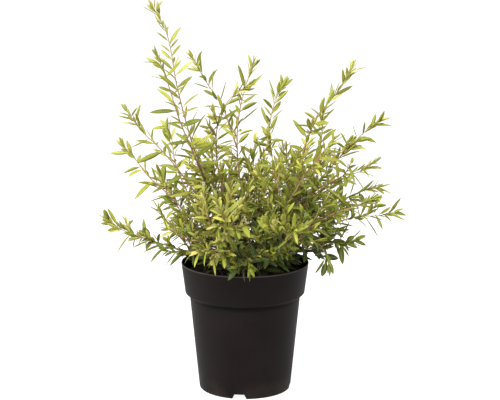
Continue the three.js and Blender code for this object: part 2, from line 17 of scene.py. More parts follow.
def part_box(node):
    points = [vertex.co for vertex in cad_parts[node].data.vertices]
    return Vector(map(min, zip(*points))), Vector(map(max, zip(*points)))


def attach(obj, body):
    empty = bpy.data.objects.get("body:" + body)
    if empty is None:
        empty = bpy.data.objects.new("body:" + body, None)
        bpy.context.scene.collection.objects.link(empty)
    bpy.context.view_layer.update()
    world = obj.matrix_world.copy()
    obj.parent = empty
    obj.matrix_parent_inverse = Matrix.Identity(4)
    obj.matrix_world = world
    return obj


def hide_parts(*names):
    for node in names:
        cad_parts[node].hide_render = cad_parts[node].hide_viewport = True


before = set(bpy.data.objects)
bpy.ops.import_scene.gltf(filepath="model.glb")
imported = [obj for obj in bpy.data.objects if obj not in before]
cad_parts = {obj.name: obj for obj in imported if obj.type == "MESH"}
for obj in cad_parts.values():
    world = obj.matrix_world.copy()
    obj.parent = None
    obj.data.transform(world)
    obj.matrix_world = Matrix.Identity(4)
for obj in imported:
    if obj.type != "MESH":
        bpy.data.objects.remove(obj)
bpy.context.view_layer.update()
print("packed solids:", len(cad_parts))

# %% [markdown]
# ## Units and small helpers
# The sizes below are in millimetres, as on the drawing of the part, and Blender works in metres. So each
# finished mesh is scaled once, when it is made. `turned` swings one direction towards another by an angle.
#
# `share_of` gives a fixed number for a stem, a shoot and a place on it. It looks random, but it is the same
# on every run, so the plant never changes. Size, turn and colour each draw with numbers of their own, so
# that they don't follow one another.

# %% Helpers for numbers
METRE = 0.001
UP = np.array([0.0, 0.0, 1.0])
STEM_WAVE = 12.9898
SHOOT_WAVE = 78.233
PLACE_WAVE = 37.719
WAVE_STRETCH = 43758.5453


def mix(low, high, share):
    return low + (high - low) * share


def share_of(stem, shoot, place):
    angle = (stem + 1) * STEM_WAVE + (shoot + 1) * SHOOT_WAVE + (place + 1) * PLACE_WAVE
    wave = math.sin(angle) * WAVE_STRETCH
    return wave - math.floor(wave)


def nearest(value):
    return math.floor(value + 0.5)


def unit(vector):
    return vector / np.linalg.norm(vector)


def turned(start, end, turn):
    return start * math.cos(turn) + end * math.sin(turn)


print("a fixed share:", round(share_of(0, 0, 0), 4))

# %% [markdown]
# ## Nodes in a few words
# Geometry trees and materials are both made of nodes. `add` makes one node, sets its options, and either
# links or sets each of its inputs. A tree then reads from top to bottom like a recipe.

# %% Helpers for nodes
def add(tree, kind, inputs=None, **options):
    made = tree.nodes.new(kind)
    for name, value in options.items():
        setattr(made, name, value)
    for name, value in (inputs or {}).items():
        socket = made.inputs[name]
        if isinstance(value, bpy.types.NodeSocket):
            tree.links.new(value, socket)
        else:
            socket.default_value = value
    return made


def number(tree, operation, *values):
    return add(tree, "ShaderNodeMath", dict(enumerate(values)), operation=operation).outputs[0]


def product(tree, result, *factors):
    for factor in factors:
        result = number(tree, "MULTIPLY", result, factor)
    return result


def attribute(tree, name, kind="FLOAT"):
    return add(tree, "GeometryNodeInputNamedAttribute", {"Name": name}, data_type=kind).outputs["Attribute"]


def store(tree, geometry, name, value, domain="POINT"):
    inputs = {"Geometry": geometry, "Name": name, "Value": value}
    kind = "GeometryNodeStoreNamedAttribute"
    return add(tree, kind, inputs, data_type="FLOAT", domain=domain).outputs["Geometry"]


print("node helpers are ready")

# %% [markdown]
# ## Routes of the stems
# On the real plant many woody stems rise from the middle of the pot and arch outwards. Most of the front
# ones can be told apart, so each front stem has a route of its own: the root on the soil, then points to
# the right (x), away from the viewer (y) and up (z). A stem that forks also has a `side_route`, and
# `side_from` says how far along the stem it starts.
#
# Three words tell how a stem differs from the others. `older` is added to the age of its leaves, so above 0
# they are darker and below 0 brighter. `sprigs` multiplies its chance of young sprigs, and `broad` the
# width of its leaves.

# %% Routes of the front stems
SOIL_LEVEL = 130
KNEE_RISE = 3
HOLE_DEPTH = 25
POT_HEIGHT = 142.5
RIM_RADIUS = 70
GAP = 0.3
FRONT_STEMS = [
    {
        "route": [(-12, -3), (-27, -8, 188), (-43, -15, 236), (-59, -25, 287), (-72, -35, 342),
            (-82, -42, 398), (-101, -46, 434)],
        "side_from": 0.3,
        "side_route": [(-52, -34, 262), (-68, -50, 305), (-81, -65, 351), (-94, -75, 390)],
    },
    {
        "route": [(-2, 10), (-3, 20, 207), (-8, 30, 250), (-8, 38, 288), (1, 42, 332), (14, 45, 366)],
        "side_from": 0.55,
        "side_route": [(-25, 45, 307), (-44, 50, 336), (-63, 55, 370)],
    },
    {
        "route": [(-8, -12), (-23, -17, 220), (-31, -20, 270), (-26, -22, 310), (-7, -25, 334),
            (13, -25, 342)],
    },
    {
        "route": [(9, 13), (28, 30, 205), (31, 50, 243), (27, 70, 277), (36, 85, 313), (49, 95, 337)],
    },
    {
        "route": [(12, -2), (44, -10, 190), (57, -15, 225), (64, -25, 274), (77, -30, 307),
            (104, -38, 344), (117, -40, 371)],
        "side_from": 0.36,
        "side_route": [(76, -20, 250), (82, -22, 285), (83, -25, 321)],
    },
    {
        "route": [(20, 6), (50, 12, 192), (81, 22, 227), (110, 30, 259), (135, 35, 283), (160, 35, 299)],
        "sprigs": 1.4,
    },
    {
        "route": [(13, -14), (38, -38, 200), (60, -50, 243), (76, -65, 269), (98, -85, 299)],
    },
    {
        "route": [(22, -7), (65, -25, 211), (96, -38, 241), (124, -45, 252), (144, -50, 268)],
        "sprigs": 1.4,
    },
    {
        "route": [(21, 17), (72, 30, 180), (109, 50, 201), (137, 62, 210), (166, 70, 215)],
        "sprigs": 0.6,
    },
    {
        "route": [(31, -2), (50, -3, 160), (88, 0, 180), (120, 0, 192), (150, 0, 194), (174, 0, 202)],
        "sprigs": 0.6,
    },
    {
        "route": [(24, -18), (48, -37, 170), (90, -55, 206), (119, -68, 219), (144, -75, 232)],
    },
    {
        "route": [(34, -12), (52, -24, 158), (79, -33, 170), (107, -38, 172), (130, -42, 180)],
        "side_from": 0.35,
        "side_route": [(82, -55, 169), (88, -64, 158), (89, -72, 144)],
        "older": 0.2, "sprigs": 2.4, "broad": 1.4,
    },
    {
        "route": [(-31, -2), (-43, -5, 146), (-71, -8, 157), (-112, -12, 172), (-138, -14, 183),
            (-160, -15, 199)],
        "side_from": 0.2,
        "side_route": [(-78, 8, 176), (-90, 12, 190), (-102, 12, 209)],
        "sprigs": 1.8, "broad": 1.25,
    },
    {
        "route": [(-22, 8), (-50, 12, 172), (-77, 20, 206), (-107, 25, 233), (-126, 28, 258),
            (-143, 30, 274)],
        "sprigs": 0.4,
    },
    {
        "route": [(-20, -12), (-40, -22, 199), (-64, -37, 242), (-89, -54, 277), (-108, -64, 298),
            (-128, -72, 328)],
        "sprigs": 0.4,
    },
    {
        "route": [(-14, 17), (-40, 27, 170), (-61, 36, 206), (-78, 50, 243), (-84, 60, 276),
            (-96, 61, 292)],
    },
    {
        "route": [(-12, -28), (-20, -52, 166), (-33, -76, 172), (-57, -104, 176)],
        "older": -0.4, "sprigs": 2, "broad": 1.3,
    },
    {
        "route": [(-2, -22), (-12, -40, 168), (-19, -80, 198), (-23, -118, 229)],
        "older": -0.2, "broad": 1.35,
    },
    {
        "route": [(9, -27), (26, -44, 164), (46, -88, 188), (54, -122, 213)],
        "older": -0.15, "broad": 1.35,
    },
    {
        "route": [(0, -35), (1, -50, 160), (3, -72, 161), (8, -90, 147)],
        "older": 0.05, "broad": 1.5,
    },
    {
        "route": [(-24, -22), (-44, -32, 162), (-66, -44, 181), (-94, -51, 194)],
        "sprigs": 2.2,
    },
    {
        "route": [(18, -25), (36, -46, 166), (58, -62, 182), (76, -88, 202)],
        "side_from": 0.3,
        "side_route": [(32, -72, 174), (38, -90, 175)],
        "older": -0.12,
    },
    {
        "route": [(3, 0), (6, -10, 175), (16, -24, 214), (30, -30, 246)],
        "older": 0.2,
    },
    {
        "route": [(-16, -18), (-26, -36, 172), (-40, -58, 206), (-50, -72, 232)],
        "older": -0.2, "broad": 1.15,
    },
]
print("front stems:", len(FRONT_STEMS))

# %% [markdown]
# ## Smooth shoots
# A real shoot bends evenly, without corners. A centripetal Catmull-Rom curve does the same: it passes
# through all its points and never loops between them. `Shoot` keeps such a curve, measured along its
# length, so that a leaf or a twig can be put at any share of the way. It also gives the way it runs there,
# with a side and an upper direction square to it.

# %% The curve of a shoot
CURVE_DIVISIONS = 200
TANGENT_REACH = 0.0001
UPRIGHT_LIMIT = 0.001
LINK_LENGTH = 10
FEWEST_LINKS = 3
FEWEST_STEPS = 2
END_LEAF_LENGTH = 13


def curve_through(points, shares):
    last = len(points) - 1
    place = np.clip(shares, 0, 1) * last
    span = np.minimum(place.astype(int), last - 1)
    weight = (place - span)[:, None]
    padded = np.vstack([2 * points[0] - points[1], points, 2 * points[-1] - points[-2]])
    before, start, end, after = (padded[span + step] for step in range(4))
    first = np.sqrt(np.linalg.norm(start - before, axis=1))[:, None]
    middle = np.sqrt(np.linalg.norm(end - start, axis=1))[:, None]
    final = np.sqrt(np.linalg.norm(after - end, axis=1))[:, None]
    leave = (start - before) / first - (end - before) / (first + middle) + (end - start) / middle
    arrive = (end - start) / middle - (after - start) / (middle + final) + (after - end) / final
    leave, arrive = leave * middle, arrive * middle
    square = -3 * start + 3 * end - 2 * leave - arrive
    cube = 2 * start - 2 * end + leave + arrive
    return start + leave * weight + square * weight**2 + cube * weight**3


class Shoot:
    def __init__(self, points, radii, step):
        self.points = np.array(points, float)
        self.radii = radii
        self.step = step
        self.divisions = np.linspace(0, 1, CURVE_DIVISIONS + 1)
        spots = curve_through(self.points, self.divisions)
        steps = np.linalg.norm(np.diff(spots, axis=0), axis=1)
        self.travelled = np.concatenate([[0], np.cumsum(steps)])
        self.length = self.travelled[-1]
        self.wood = 1 - END_LEAF_LENGTH / self.length
        across = np.cross(self.points[-1] - self.points[0], UP)
        leans = np.linalg.norm(across) > UPRIGHT_LIMIT
        self.across = unit(across) if leans else np.array([1.0, 0.0, 0.0])
        self.links = self.straight_links()

    def curve_share(self, share):
        return np.interp(np.atleast_1d(share) * self.length, self.travelled, self.divisions)

    def at(self, share):
        return curve_through(self.points, self.curve_share(share))

    def spot(self, share):
        return self.at(share)[0]

    def axes(self, share):
        place = self.curve_share(share)
        ends = np.clip([place - TANGENT_REACH, place + TANGENT_REACH], 0, 1)
        tangent = unit(np.diff(curve_through(self.points, ends.ravel()), axis=0)[0])
        side = unit(self.across - tangent * np.dot(self.across, tangent))
        return tangent, side, np.cross(side, tangent)

    def radius(self, share):
        return mix(self.radii[0], self.radii[1], share)

    def axis_spot(self, share):
        steps = max(FEWEST_STEPS, nearest(self.wood * self.length / self.step))
        place = share / self.wood * steps
        step = min(math.floor(place), steps - 1)
        ends = self.at(self.wood * np.array([step, step + 1]) / steps)
        return mix(ends[0], ends[1], place - step)

    def straight_links(self):
        count = max(FEWEST_LINKS, nearest(self.length / LINK_LENGTH))
        spots = self.at(np.arange(count + 1) / count)
        radii = self.radius(np.arange(count) / count)
        return np.column_stack([spots[:-1], spots[1:], radii])


print("shoots follow centripetal curves, measured in", CURVE_DIVISIONS, "divisions")

# %% [markdown]
# ## Room between shoots
# Twigs and leaves grow past each other without touching much. To keep them apart, each is treated as one
# or more straight links. A link is a row of seven numbers: where it starts, where it ends, and its radius.
# `spare_room` says how far a link stays from all the others. It works on numpy arrays, because there are
# thousands of links.

# %% Distance between links
NEAR_ENOUGH = 45
PARALLEL_LIMIT = 1e-9
LINK_START = slice(0, 3)
LINK_END = slice(3, 6)
LINK_RADIUS = 6


def link_distances(link, others):
    one, two = link[LINK_END] - link[LINK_START], others[:, LINK_END] - others[:, LINK_START]
    apart = link[LINK_START] - others[:, LINK_START]
    own, cross, their = one @ one, two @ one, (two * two).sum(1)
    own_apart, their_apart = apart @ one, (apart * two).sum(1)
    square = own * their - cross * cross
    parallel = square <= PARALLEL_LIMIT
    share = (cross * their_apart - their * own_apart) / np.where(parallel, 1, square)
    share = np.where(parallel, 0, np.clip(share, 0, 1))
    their_share = np.clip((cross * share + their_apart) / their, 0, 1)
    share = np.clip((cross * their_share - own_apart) / own, 0, 1)
    return np.linalg.norm(apart + share[:, None] * one - their_share[:, None] * two, axis=1)


def spare_room(link, others):
    near = np.abs(others[:, LINK_START] - link[LINK_START]).max(1) < NEAR_ENOUGH
    if not near.any():
        return NEAR_ENOUGH
    return (link_distances(link, others[near]) - link[LINK_RADIUS] - others[near, LINK_RADIUS]).min()


print("links further apart than", NEAR_ENOUGH, "mm are left out of the sums")

# %% [markdown]
# ## Main stems and side shoots
# A stem stands straight in its hole in the soil up to a knee, and then follows its route. Some fork into a
# side shoot. The stems at the back stand on an arc and fan out from it, and three leans and three lengths
# in turn keep them from looking alike.

# %% Main stems and side shoots
STEM_RADII = (1.7, 0.75)
STEM_STEP = 32
BACK_STEMS = 8
BACK_ARC_RADIUS = 30
BACK_ARC_START = 55
BACK_ARC_STEP = 13
BACK_LEAN_START = 36
BACK_LEAN_STEP = 14
BACK_LEANS = [34, 60, 46]
BACK_LENGTHS = [132, 126, 138]
BACK_POINTS = (0.4, 0.7, 1)
BACK_RISE = 0.22


def back_stem(index):
    start = math.radians(BACK_ARC_START + BACK_ARC_STEP * index)
    root = (BACK_ARC_RADIUS * math.cos(start), BACK_ARC_RADIUS * math.sin(start))
    towards = math.radians(BACK_LEAN_START + BACK_LEAN_STEP * index)
    lean = math.radians(BACK_LEANS[index % len(BACK_LEANS)])
    length = BACK_LENGTHS[index % len(BACK_LENGTHS)]
    route = [root]
    for share in BACK_POINTS:
        out = length * share * math.sin(lean)
        rise = length * share * (math.cos(lean) + BACK_RISE * share)
        x, y = root[0] + out * math.cos(towards), root[1] + out * math.sin(towards)
        route.append((x, y, SOIL_LEVEL + KNEE_RISE + rise))
    return {"route": route}


def plant_stem(plan):
    x, y = plan["route"][0]
    main = Shoot([(x, y, SOIL_LEVEL + KNEE_RISE), *plan["route"][1:]], STEM_RADII, STEM_STEP)
    stem = {"older": 0, "sprigs": 1, "broad": 1, **plan, "shoots": [main], "from": [None], "leaves": []}
    stem["foot"] = (x, y, SOIL_LEVEL - HOLE_DEPTH + GAP)
    if "side_route" in plan:
        radii = (main.radius(plan["side_from"]), STEM_RADII[1])
        start = main.axis_spot(plan["side_from"])
        stem["shoots"].append(Shoot([start, *plan["side_route"]], radii, STEM_STEP))
        stem["from"].append(plan["side_from"])
    return stem


stems = [plant_stem(plan) for plan in FRONT_STEMS + [back_stem(index) for index in range(BACK_STEMS)]]
print("stems:", len(stems), "with", sum(len(stem["shoots"]) for stem in stems), "shoots set out")

# %% [markdown]
# ## Twigs
# Twigs leave a stem sideways, lift towards their tips, and are shorter near the top. They fill the thick,
# domed middle of the plant, so a twig has to end inside the dome and stay above the rim of the pot. It
# turns round its stem until it is also clear of all that already grows there, and where no turn is clear,
# no twig grows.

# %% Twigs
TWIG_RADII = (0.95, 0.7)
TWIG_STEP = 34
TWIG_PITCH = 17
TWIG_LENGTHS = (70, 30)
TWIG_VIGOUR = (0.75, 1.2)
TWIG_REACH = (0.12, 0.72)
TWIG_SHIFT = (0.3, 0.7)
TWIG_ANGLE = math.radians(44)
TWIG_LIFT = 0.16
TWIG_CLEARANCE = 3
TWIG_TRIES = 14
TWIG_OVER_RIM = 8
TWIG_DRAWS = {"shift": 0, "vigour": 1, "turn": 2}
DOME_MIDDLE = np.array([10, 0, 188])
DOME_REACH = np.array([104, 96, 95])
DOME_LEAN = 0.2
LEAF_TURN = 137.5


def is_in_dome(spot, share=1):
    place = spot - DOME_MIDDLE
    place[2] -= DOME_LEAN * place[0]
    return np.linalg.norm(place / DOME_REACH) < share


def turns_from(first_turn, tries):
    return [math.radians(first_turn + 360 / tries * attempt) for attempt in range(tries)]


def twig_shoot(shoot, share, turn, length):
    tangent, side, over = shoot.axes(share)
    way = turned(tangent, turned(side, over, turn), TWIG_ANGLE)
    start = shoot.axis_spot(share)
    end = start + way * length + UP * length * TWIG_LIFT
    return Shoot([start, start + way * length / 2, end], TWIG_RADII, TWIG_STEP)


def first_clear_twig(shoot, share, turns, length, links, clearance, is_in_place):
    for turn in turns:
        twig = twig_shoot(shoot, share, turn, length)
        above_rim = (twig.links[:, LINK_END][:, 2] > POT_HEIGHT + TWIG_OVER_RIM).all()
        in_place = above_rim and is_in_place(twig)
        if in_place and all(spare_room(link, links) > clearance for link in twig.links[1:]):
            return twig
    return None


def ends_in_dome(twig):
    return is_in_dome(twig.spot(1))


links = np.vstack([shoot.links for stem in stems for shoot in stem["shoots"]])
for stem_index, stem in enumerate(stems):
    main = stem["shoots"][0]
    twig_count = nearest((TWIG_REACH[1] - TWIG_REACH[0]) * main.length / TWIG_PITCH)
    for twig_index in range(twig_count):
        shift = mix(*TWIG_SHIFT, share_of(stem_index, TWIG_DRAWS["shift"], twig_index))
        share = mix(*TWIG_REACH, (twig_index + shift) / twig_count)
        vigour = mix(*TWIG_VIGOUR, share_of(stem_index, TWIG_DRAWS["vigour"], twig_index))
        length = mix(*TWIG_LENGTHS, share) * vigour
        first_turn = 360 * share_of(stem_index, TWIG_DRAWS["turn"], 0) + LEAF_TURN * twig_index
        turns = turns_from(first_turn, TWIG_TRIES)
        twig = first_clear_twig(main, share, turns, length, links, TWIG_CLEARANCE, ends_in_dome)
        if twig:
            stem["shoots"].append(twig)
            stem["from"].append(share)
            links = np.vstack([links, twig.links])
print("shoots in all:", sum(len(stem["shoots"]) for stem in stems))

# %% [markdown]
# ## Leaves
# The leaves stand one at a time, each turned 137.5 degrees from the one below, so that none shades the
# next. They open wide on old wood and close up towards the tip, where they are also smaller and nearer
# together. `leaf_plan` says where one leaf starts, which way it points and how long it is. Most leaves that
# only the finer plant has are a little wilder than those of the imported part.

# %% Places and directions of the leaves
LEAF_LENGTHS = (15, 24)
LONG_SHOOT = 190
LEAF_WIDTH = 4.3
LEAF_PITCHES = (5, 3.2)
LEAF_OPENINGS = (64, 26)
LEAF_TIP_SHARE = 0.55
LEAF_WANDER = (-18, 22)
LEAF_VIGOUR = (0.8, 1.2)
LEAF_BOW = (-0.16, 0.1)
LEAF_ROLL = (-50, 50)
LEAF_SUNK = 0.45
BARE_SHARE = 0.12
BARE_TWIG = 9
WILD_TURN = (-32, 32)
WILD_OPENING = (-10, 14)
WILD_GROWTH = (-0.05, 0.38)
WILD_GROWTH_INSIDE = (-0.38, 0.2)
LEAF_DRAWS = {"turn": 0.6, "opening": 0.7, "angle": 0.25, "roll": 0.4, "vigour": 0.5, "growth": 0.8,
    "bow": 0.75}


def leaf_places(shoot, is_main):
    places = []
    along = BARE_SHARE * shoot.length if is_main else BARE_TWIG
    while along < shoot.length * shoot.wood:
        places.append(along / shoot.length)
        along += mix(*LEAF_PITCHES, (along / shoot.length) ** 3)
    return places


def leaf_plan(shoot, share, turn, stem_index, shoot_index, place, wild=0):
    def drawn(limits, draw):
        return mix(*limits, share_of(stem_index, shoot_index, place + LEAF_DRAWS[draw]))

    tangent, side, over = shoot.axes(share)
    turn += wild * math.radians(drawn(WILD_TURN, "turn"))
    opening = mix(*LEAF_OPENINGS, share * share) + wild * drawn(WILD_OPENING, "opening")
    angle = math.radians(opening + drawn(LEAF_WANDER, "angle"))
    way = turned(tangent, turned(side, over, turn), angle)
    flat = unit(tangent - way * np.dot(tangent, way))
    upper = turned(flat, np.cross(way, flat), math.radians(drawn(LEAF_ROLL, "roll")))
    full = mix(*LEAF_LENGTHS, min(1, shoot.length / LONG_SHOOT))
    length = full * mix(1, LEAF_TIP_SHARE, share**4) * drawn(LEAF_VIGOUR, "vigour")
    root = shoot.axis_spot(share) - way * LEAF_SUNK
    growth = WILD_GROWTH_INSIDE if is_in_dome(root) else WILD_GROWTH
    length *= 1 + wild * drawn(growth, "growth")
    return {"root": root, "way": way, "upper": upper, "length": length, "bow": drawn(LEAF_BOW, "bow"),
        "share": share, "shoot": shoot_index}


print("leaf places on the first stem:", len(leaf_places(stems[0]["shoots"][0], True)))

# %% [markdown]
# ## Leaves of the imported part
# Counted from its tip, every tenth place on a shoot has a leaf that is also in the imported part. These
# leaves come first, by the same rule. Each takes the first turn round its shoot that is clear of the other
# stems, of the leaves so far and of the pot, and a place without such a turn stays empty. The places
# between them stay open for the finer leaves.

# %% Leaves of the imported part
SOLID_LEAF_EVERY = 10
LEAF_TRIES = 9
LEAF_TURN_DRAW = 5
LEAF_SPACING = 0.7
LEAF_LINK_SHARES = np.array([[0.12], [1.0]])

shoot_links = [np.vstack([shoot.links for shoot in stem["shoots"]]) for stem in stems]
leaf_links = np.zeros((0, 7))
others_of = []
for stem_index in range(len(stems)):
    others_of.append(np.vstack([links for index, links in enumerate(shoot_links) if index != stem_index]))


def leaf_turns(stem_index, shoot_index, place):
    first_turn = 360 * share_of(stem_index, shoot_index, LEAF_TURN_DRAW) + LEAF_TURN * place
    return turns_from(first_turn, LEAF_TRIES)


def leaf_link(leaf):
    spots = leaf["root"] + leaf["way"] * leaf["length"] * LEAF_LINK_SHARES
    spots = spots + leaf["upper"] * leaf["length"] * leaf["bow"] * LEAF_LINK_SHARES**2
    return np.concatenate([*spots, [leaf.get("width", LEAF_WIDTH) / 2]])


def reach_and_rise(link):
    x, y, z = link[LINK_END]
    return math.hypot(x, y), z


def is_clear_of_pot(link):
    reach, rise = reach_and_rise(link)
    return rise > (POT_HEIGHT + LEAF_WIDTH if reach < RIM_RADIUS + LEAF_WIDTH else POT_HEIGHT / 2)


def room_for(link, stem_index):
    return min(spare_room(link, others_of[stem_index]), spare_room(link, leaf_links))


def grow_leaf(stem, leaf, link):
    global leaf_links
    stem["leaves"].append(leaf)
    leaf_links = np.vstack([leaf_links, link])


open_places = []
for stem_index, stem in enumerate(stems):
    for shoot_index, shoot in enumerate(stem["shoots"]):
        places = leaf_places(shoot, shoot_index == 0)
        for place, share in enumerate(places):
            if (len(places) - 1 - place) % SOLID_LEAF_EVERY:
                open_places.append((stem_index, shoot_index, place, share))
                continue
            for turn in leaf_turns(stem_index, shoot_index, place):
                leaf = leaf_plan(shoot, share, turn, stem_index, shoot_index, place)
                link = leaf_link(leaf)
                if room_for(link, stem_index) > LEAF_SPACING and is_clear_of_pot(link):
                    grow_leaf(stem, leaf, link)
                    break
print("leaves of the packed part:", len(leaf_links), "and open places:", len(open_places))

# %% [markdown]
# ## Young sprigs
# The outer parts of the stems carry short side twigs of this year, each with a handful of leaves. They are
# hardly longer than a leaf, so only the finer plant has them. They stand outside the dome or near its edge,
# and are common low down and rare near the top. Each turns round its stem, like a twig, until it is clear
# of all other shoots.

# %% Young sprigs on the outer parts of the stems
SPRIG_PITCH = 12
SPRIG_REACH = (0.3, 0.74)
SPRIG_LENGTHS = (20, 38)
SPRIG_RISE = (220, 345)
SPRIG_CHANCES = (0.7, 0.1)
SPRIG_CLEARANCE = 1.5
SPRIG_DOME = 0.8
SPRIG_MIDDLE = 0.4
SPRIG_DRAWS = {"chance": 5, "length": 6, "turn": 13}


def leaves_dome(sprig):
    return not is_in_dome(sprig.spot(SPRIG_MIDDLE), SPRIG_DOME)


sprig_links = np.vstack([*shoot_links, leaf_links])
sprig_count = 0
for stem_index, stem in enumerate(stems):
    main = stem["shoots"][0]
    alongs = np.arange(SPRIG_REACH[0] * main.length, SPRIG_REACH[1] * main.length, SPRIG_PITCH)
    for place, share in enumerate(alongs / main.length):
        chance = stem["sprigs"] * np.interp(main.spot(share)[2], SPRIG_RISE, SPRIG_CHANCES)
        if share_of(stem_index, SPRIG_DRAWS["chance"], place) > chance:
            continue
        length = mix(*SPRIG_LENGTHS, share_of(stem_index, SPRIG_DRAWS["length"], place))
        first_turn = math.tau * share_of(stem_index, SPRIG_DRAWS["turn"], place)
        turns = [first_turn + math.tau * attempt / TWIG_TRIES for attempt in range(TWIG_TRIES)]
        sprig = first_clear_twig(main, share, turns, length, sprig_links, SPRIG_CLEARANCE, leaves_dome)
        if sprig:
            for leaf_place, leaf_share in enumerate(leaf_places(sprig, False)):
                open_places.append((stem_index, len(stem["shoots"]), leaf_place, leaf_share))
            stem["shoots"].append(sprig)
            stem["from"].append(share)
            sprig_links = np.vstack([sprig_links, sprig.links])
            sprig_count += 1
print("young sprigs:", sprig_count)

# %% [markdown]
# ## All the other leaves
# Nine places in ten are still open, and so are all those on the sprigs. A real leaf twists its stalk to
# find light, so each of these takes the first turn with room enough, or else the turn that leaves it the
# most room. A leaf may hang over the rim of the pot, but none dips into the pot.

# %% All the other leaves
ROOM_WANTED = 0.2
OVER_RIM = 1.5


def is_out_of_pot(link):
    reach, rise = reach_and_rise(link)
    return rise > POT_HEIGHT + OVER_RIM or reach > RIM_RADIUS + LEAF_WIDTH


for stem_index, shoot_index, place, share in open_places:
    shoot = stems[stem_index]["shoots"][shoot_index]
    best_room, best = -math.inf, None
    for turn in leaf_turns(stem_index, shoot_index, place):
        leaf = leaf_plan(shoot, share, turn, stem_index, shoot_index, place, 1)
        link = leaf_link(leaf)
        if not is_out_of_pot(link):
            continue
        room = room_for(link, stem_index)
        if room > best_room:
            best_room, best = room, (leaf, link)
        if room > ROOM_WANTED:
            break
    if best:
        grow_leaf(stems[stem_index], *best)
print("side leaves in all:", len(leaf_links))

# %% [markdown]
# ## Old leaves near the soil
# The bare feet of the real stems are hidden by old dark leaves that hang close above the soil, some of
# them over the rim. There are a few on the lowest part of each main stem, and on stems that stay low they
# go on to a little past half way. They grow only where they clear the pot and the soil.

# %% Old leaves on the feet of the stems
LOW_START = 8
LOW_PITCH = 5
LOW_SURE = 0.26
LOW_LAST = 0.6
LOW_RISE = 172
LOW_TURNS = 7
LOW_TURN_DRAW = 3
LOW_FIRST_PLACE = 200
LOW_ROOM = -0.8
LOW_GROWTH = 1.1
LOW_WIDTH_SHARE = 0.27
INSIDE_POT = 61


def is_clear_of_soil(link):
    reach, rise = reach_and_rise(link)
    over_soil = reach < INSIDE_POT and rise > SOIL_LEVEL + LEAF_WIDTH
    return over_soil or is_out_of_pot(link)


def grow_old_leaf(stem, stem_index, share, place):
    for step in range(LOW_TURNS):
        turn = math.tau * (share_of(stem_index, LOW_TURN_DRAW, place) + step / LOW_TURNS)
        leaf = leaf_plan(stem["shoots"][0], share, turn, stem_index, 0, LOW_FIRST_PLACE + place)
        leaf["length"] *= LOW_GROWTH
        link = leaf_link(leaf)
        if is_clear_of_soil(link) and room_for(link, stem_index) > LOW_ROOM:
            leaf.update(bow=-abs(leaf["bow"]), width=LOW_WIDTH_SHARE * leaf["length"])
            grow_leaf(stem, leaf, link)
            break


grown_before = len(leaf_links)
for stem_index, stem in enumerate(stems):
    main = stem["shoots"][0]
    for place, along in enumerate(np.arange(LOW_START, LOW_LAST * main.length, LOW_PITCH)):
        if along > LOW_SURE * main.length and main.spot(along / main.length)[2] > LOW_RISE:
            break
        grow_old_leaf(stem, stem_index, along / main.length, place)
print("old leaves near the soil:", len(leaf_links) - grown_before)

# %% [markdown]
# ## Small leaves in the axils
# Here and there small leaves sit in the angle between a leaf and its shoot. They are the start of next
# year's twigs. They are tried at most leaves inside the dome. Outside it they are larger, and are tried
# only low on the plant, so that its top stays airy. Few of them find room, and only those grow.

# %% Small leaves in the leaf axils
AXIL_SHARE = 0.7
AXIL_LAST = 0.9
AXIL_LEAVES = 3
AXIL_ANGLES = (18, 58)
AXIL_LENGTHS = (7, 14)
AXIL_WIDTH_SHARE = 0.22
AXIL_ROOM = -0.5
AXIL_OUTSIDE_SHARES = (0.85, 0)
AXIL_OUTSIDE_RISE = (190, 330)
AXIL_OUTSIDE_LAST = 0.76
AXIL_OUTSIDE_GROWTH = 1.35
AXIL_DRAW = 4
AXIL_LEAF_DRAWS = (20, 21, 22)


def axil_leaf(parent, shoot, index, chances, growth):
    core = unit(shoot.axes(parent["share"])[0] + parent["way"])
    side = unit(np.cross(core, parent["way"]))
    out = turned(side, np.cross(side, core), math.tau * (index / AXIL_LEAVES + chances[0]))
    way = turned(core, out, math.radians(mix(*AXIL_ANGLES, chances[1])))
    length = mix(*AXIL_LENGTHS, chances[2]) * growth
    return {"root": parent["root"], "way": way, "upper": unit(core - way * np.dot(core, way)),
        "length": length, "bow": mix(*LEAF_BOW, chances[1]), "share": parent["share"],
        "width": length * AXIL_WIDTH_SHARE, "shoot": parent["shoot"]}


def has_axil_leaves(parent, inside, chance):
    outside_share = np.interp(parent["root"][2], AXIL_OUTSIDE_RISE, AXIL_OUTSIDE_SHARES)
    wanted, last = (AXIL_SHARE, AXIL_LAST) if inside else (outside_share, AXIL_OUTSIDE_LAST)
    return chance <= wanted and parent["share"] <= last


grown_before = len(leaf_links)
for stem_index, stem in enumerate(stems):
    for parent_index, parent in enumerate(list(stem["leaves"])):
        inside = is_in_dome(parent["root"])
        if not has_axil_leaves(parent, inside, share_of(stem_index, AXIL_DRAW, parent_index)):
            continue
        for index in range(AXIL_LEAVES):
            place = parent_index * AXIL_LEAVES + index
            chances = [share_of(stem_index, draw, place) for draw in AXIL_LEAF_DRAWS]
            growth = 1 if inside else AXIL_OUTSIDE_GROWTH
            leaf = axil_leaf(parent, stem["shoots"][parent["shoot"]], index, chances, growth)
            link = leaf_link(leaf)
            if is_clear_of_soil(link) and room_for(link, stem_index) > AXIL_ROOM:
                grow_leaf(stem, leaf, link)
print("small leaves in the axils:", len(leaf_links) - grown_before)

# %% [markdown]
# ## Leaves at the tips
# Every shoot of the real plant ends in a tuft: a last leaf that points on, and a few small young ones
# folded round it. They are what makes the outline of the plant look feathery, so each shoot gets them.

# %% The tuft at the end of a shoot
END_LEAF_WIDTH = 3.6
TUFT_LEAVES = 8
TUFT_START = 19
TUFT_ANGLES = (8, 38)
TUFT_LENGTHS = (9, 17)
TUFT_WIDTH_SHARE = 0.2
TUFT_BOW = -0.05
TUFT_DRAWS = {"turn": 90, "angle": 91, "length": 101}


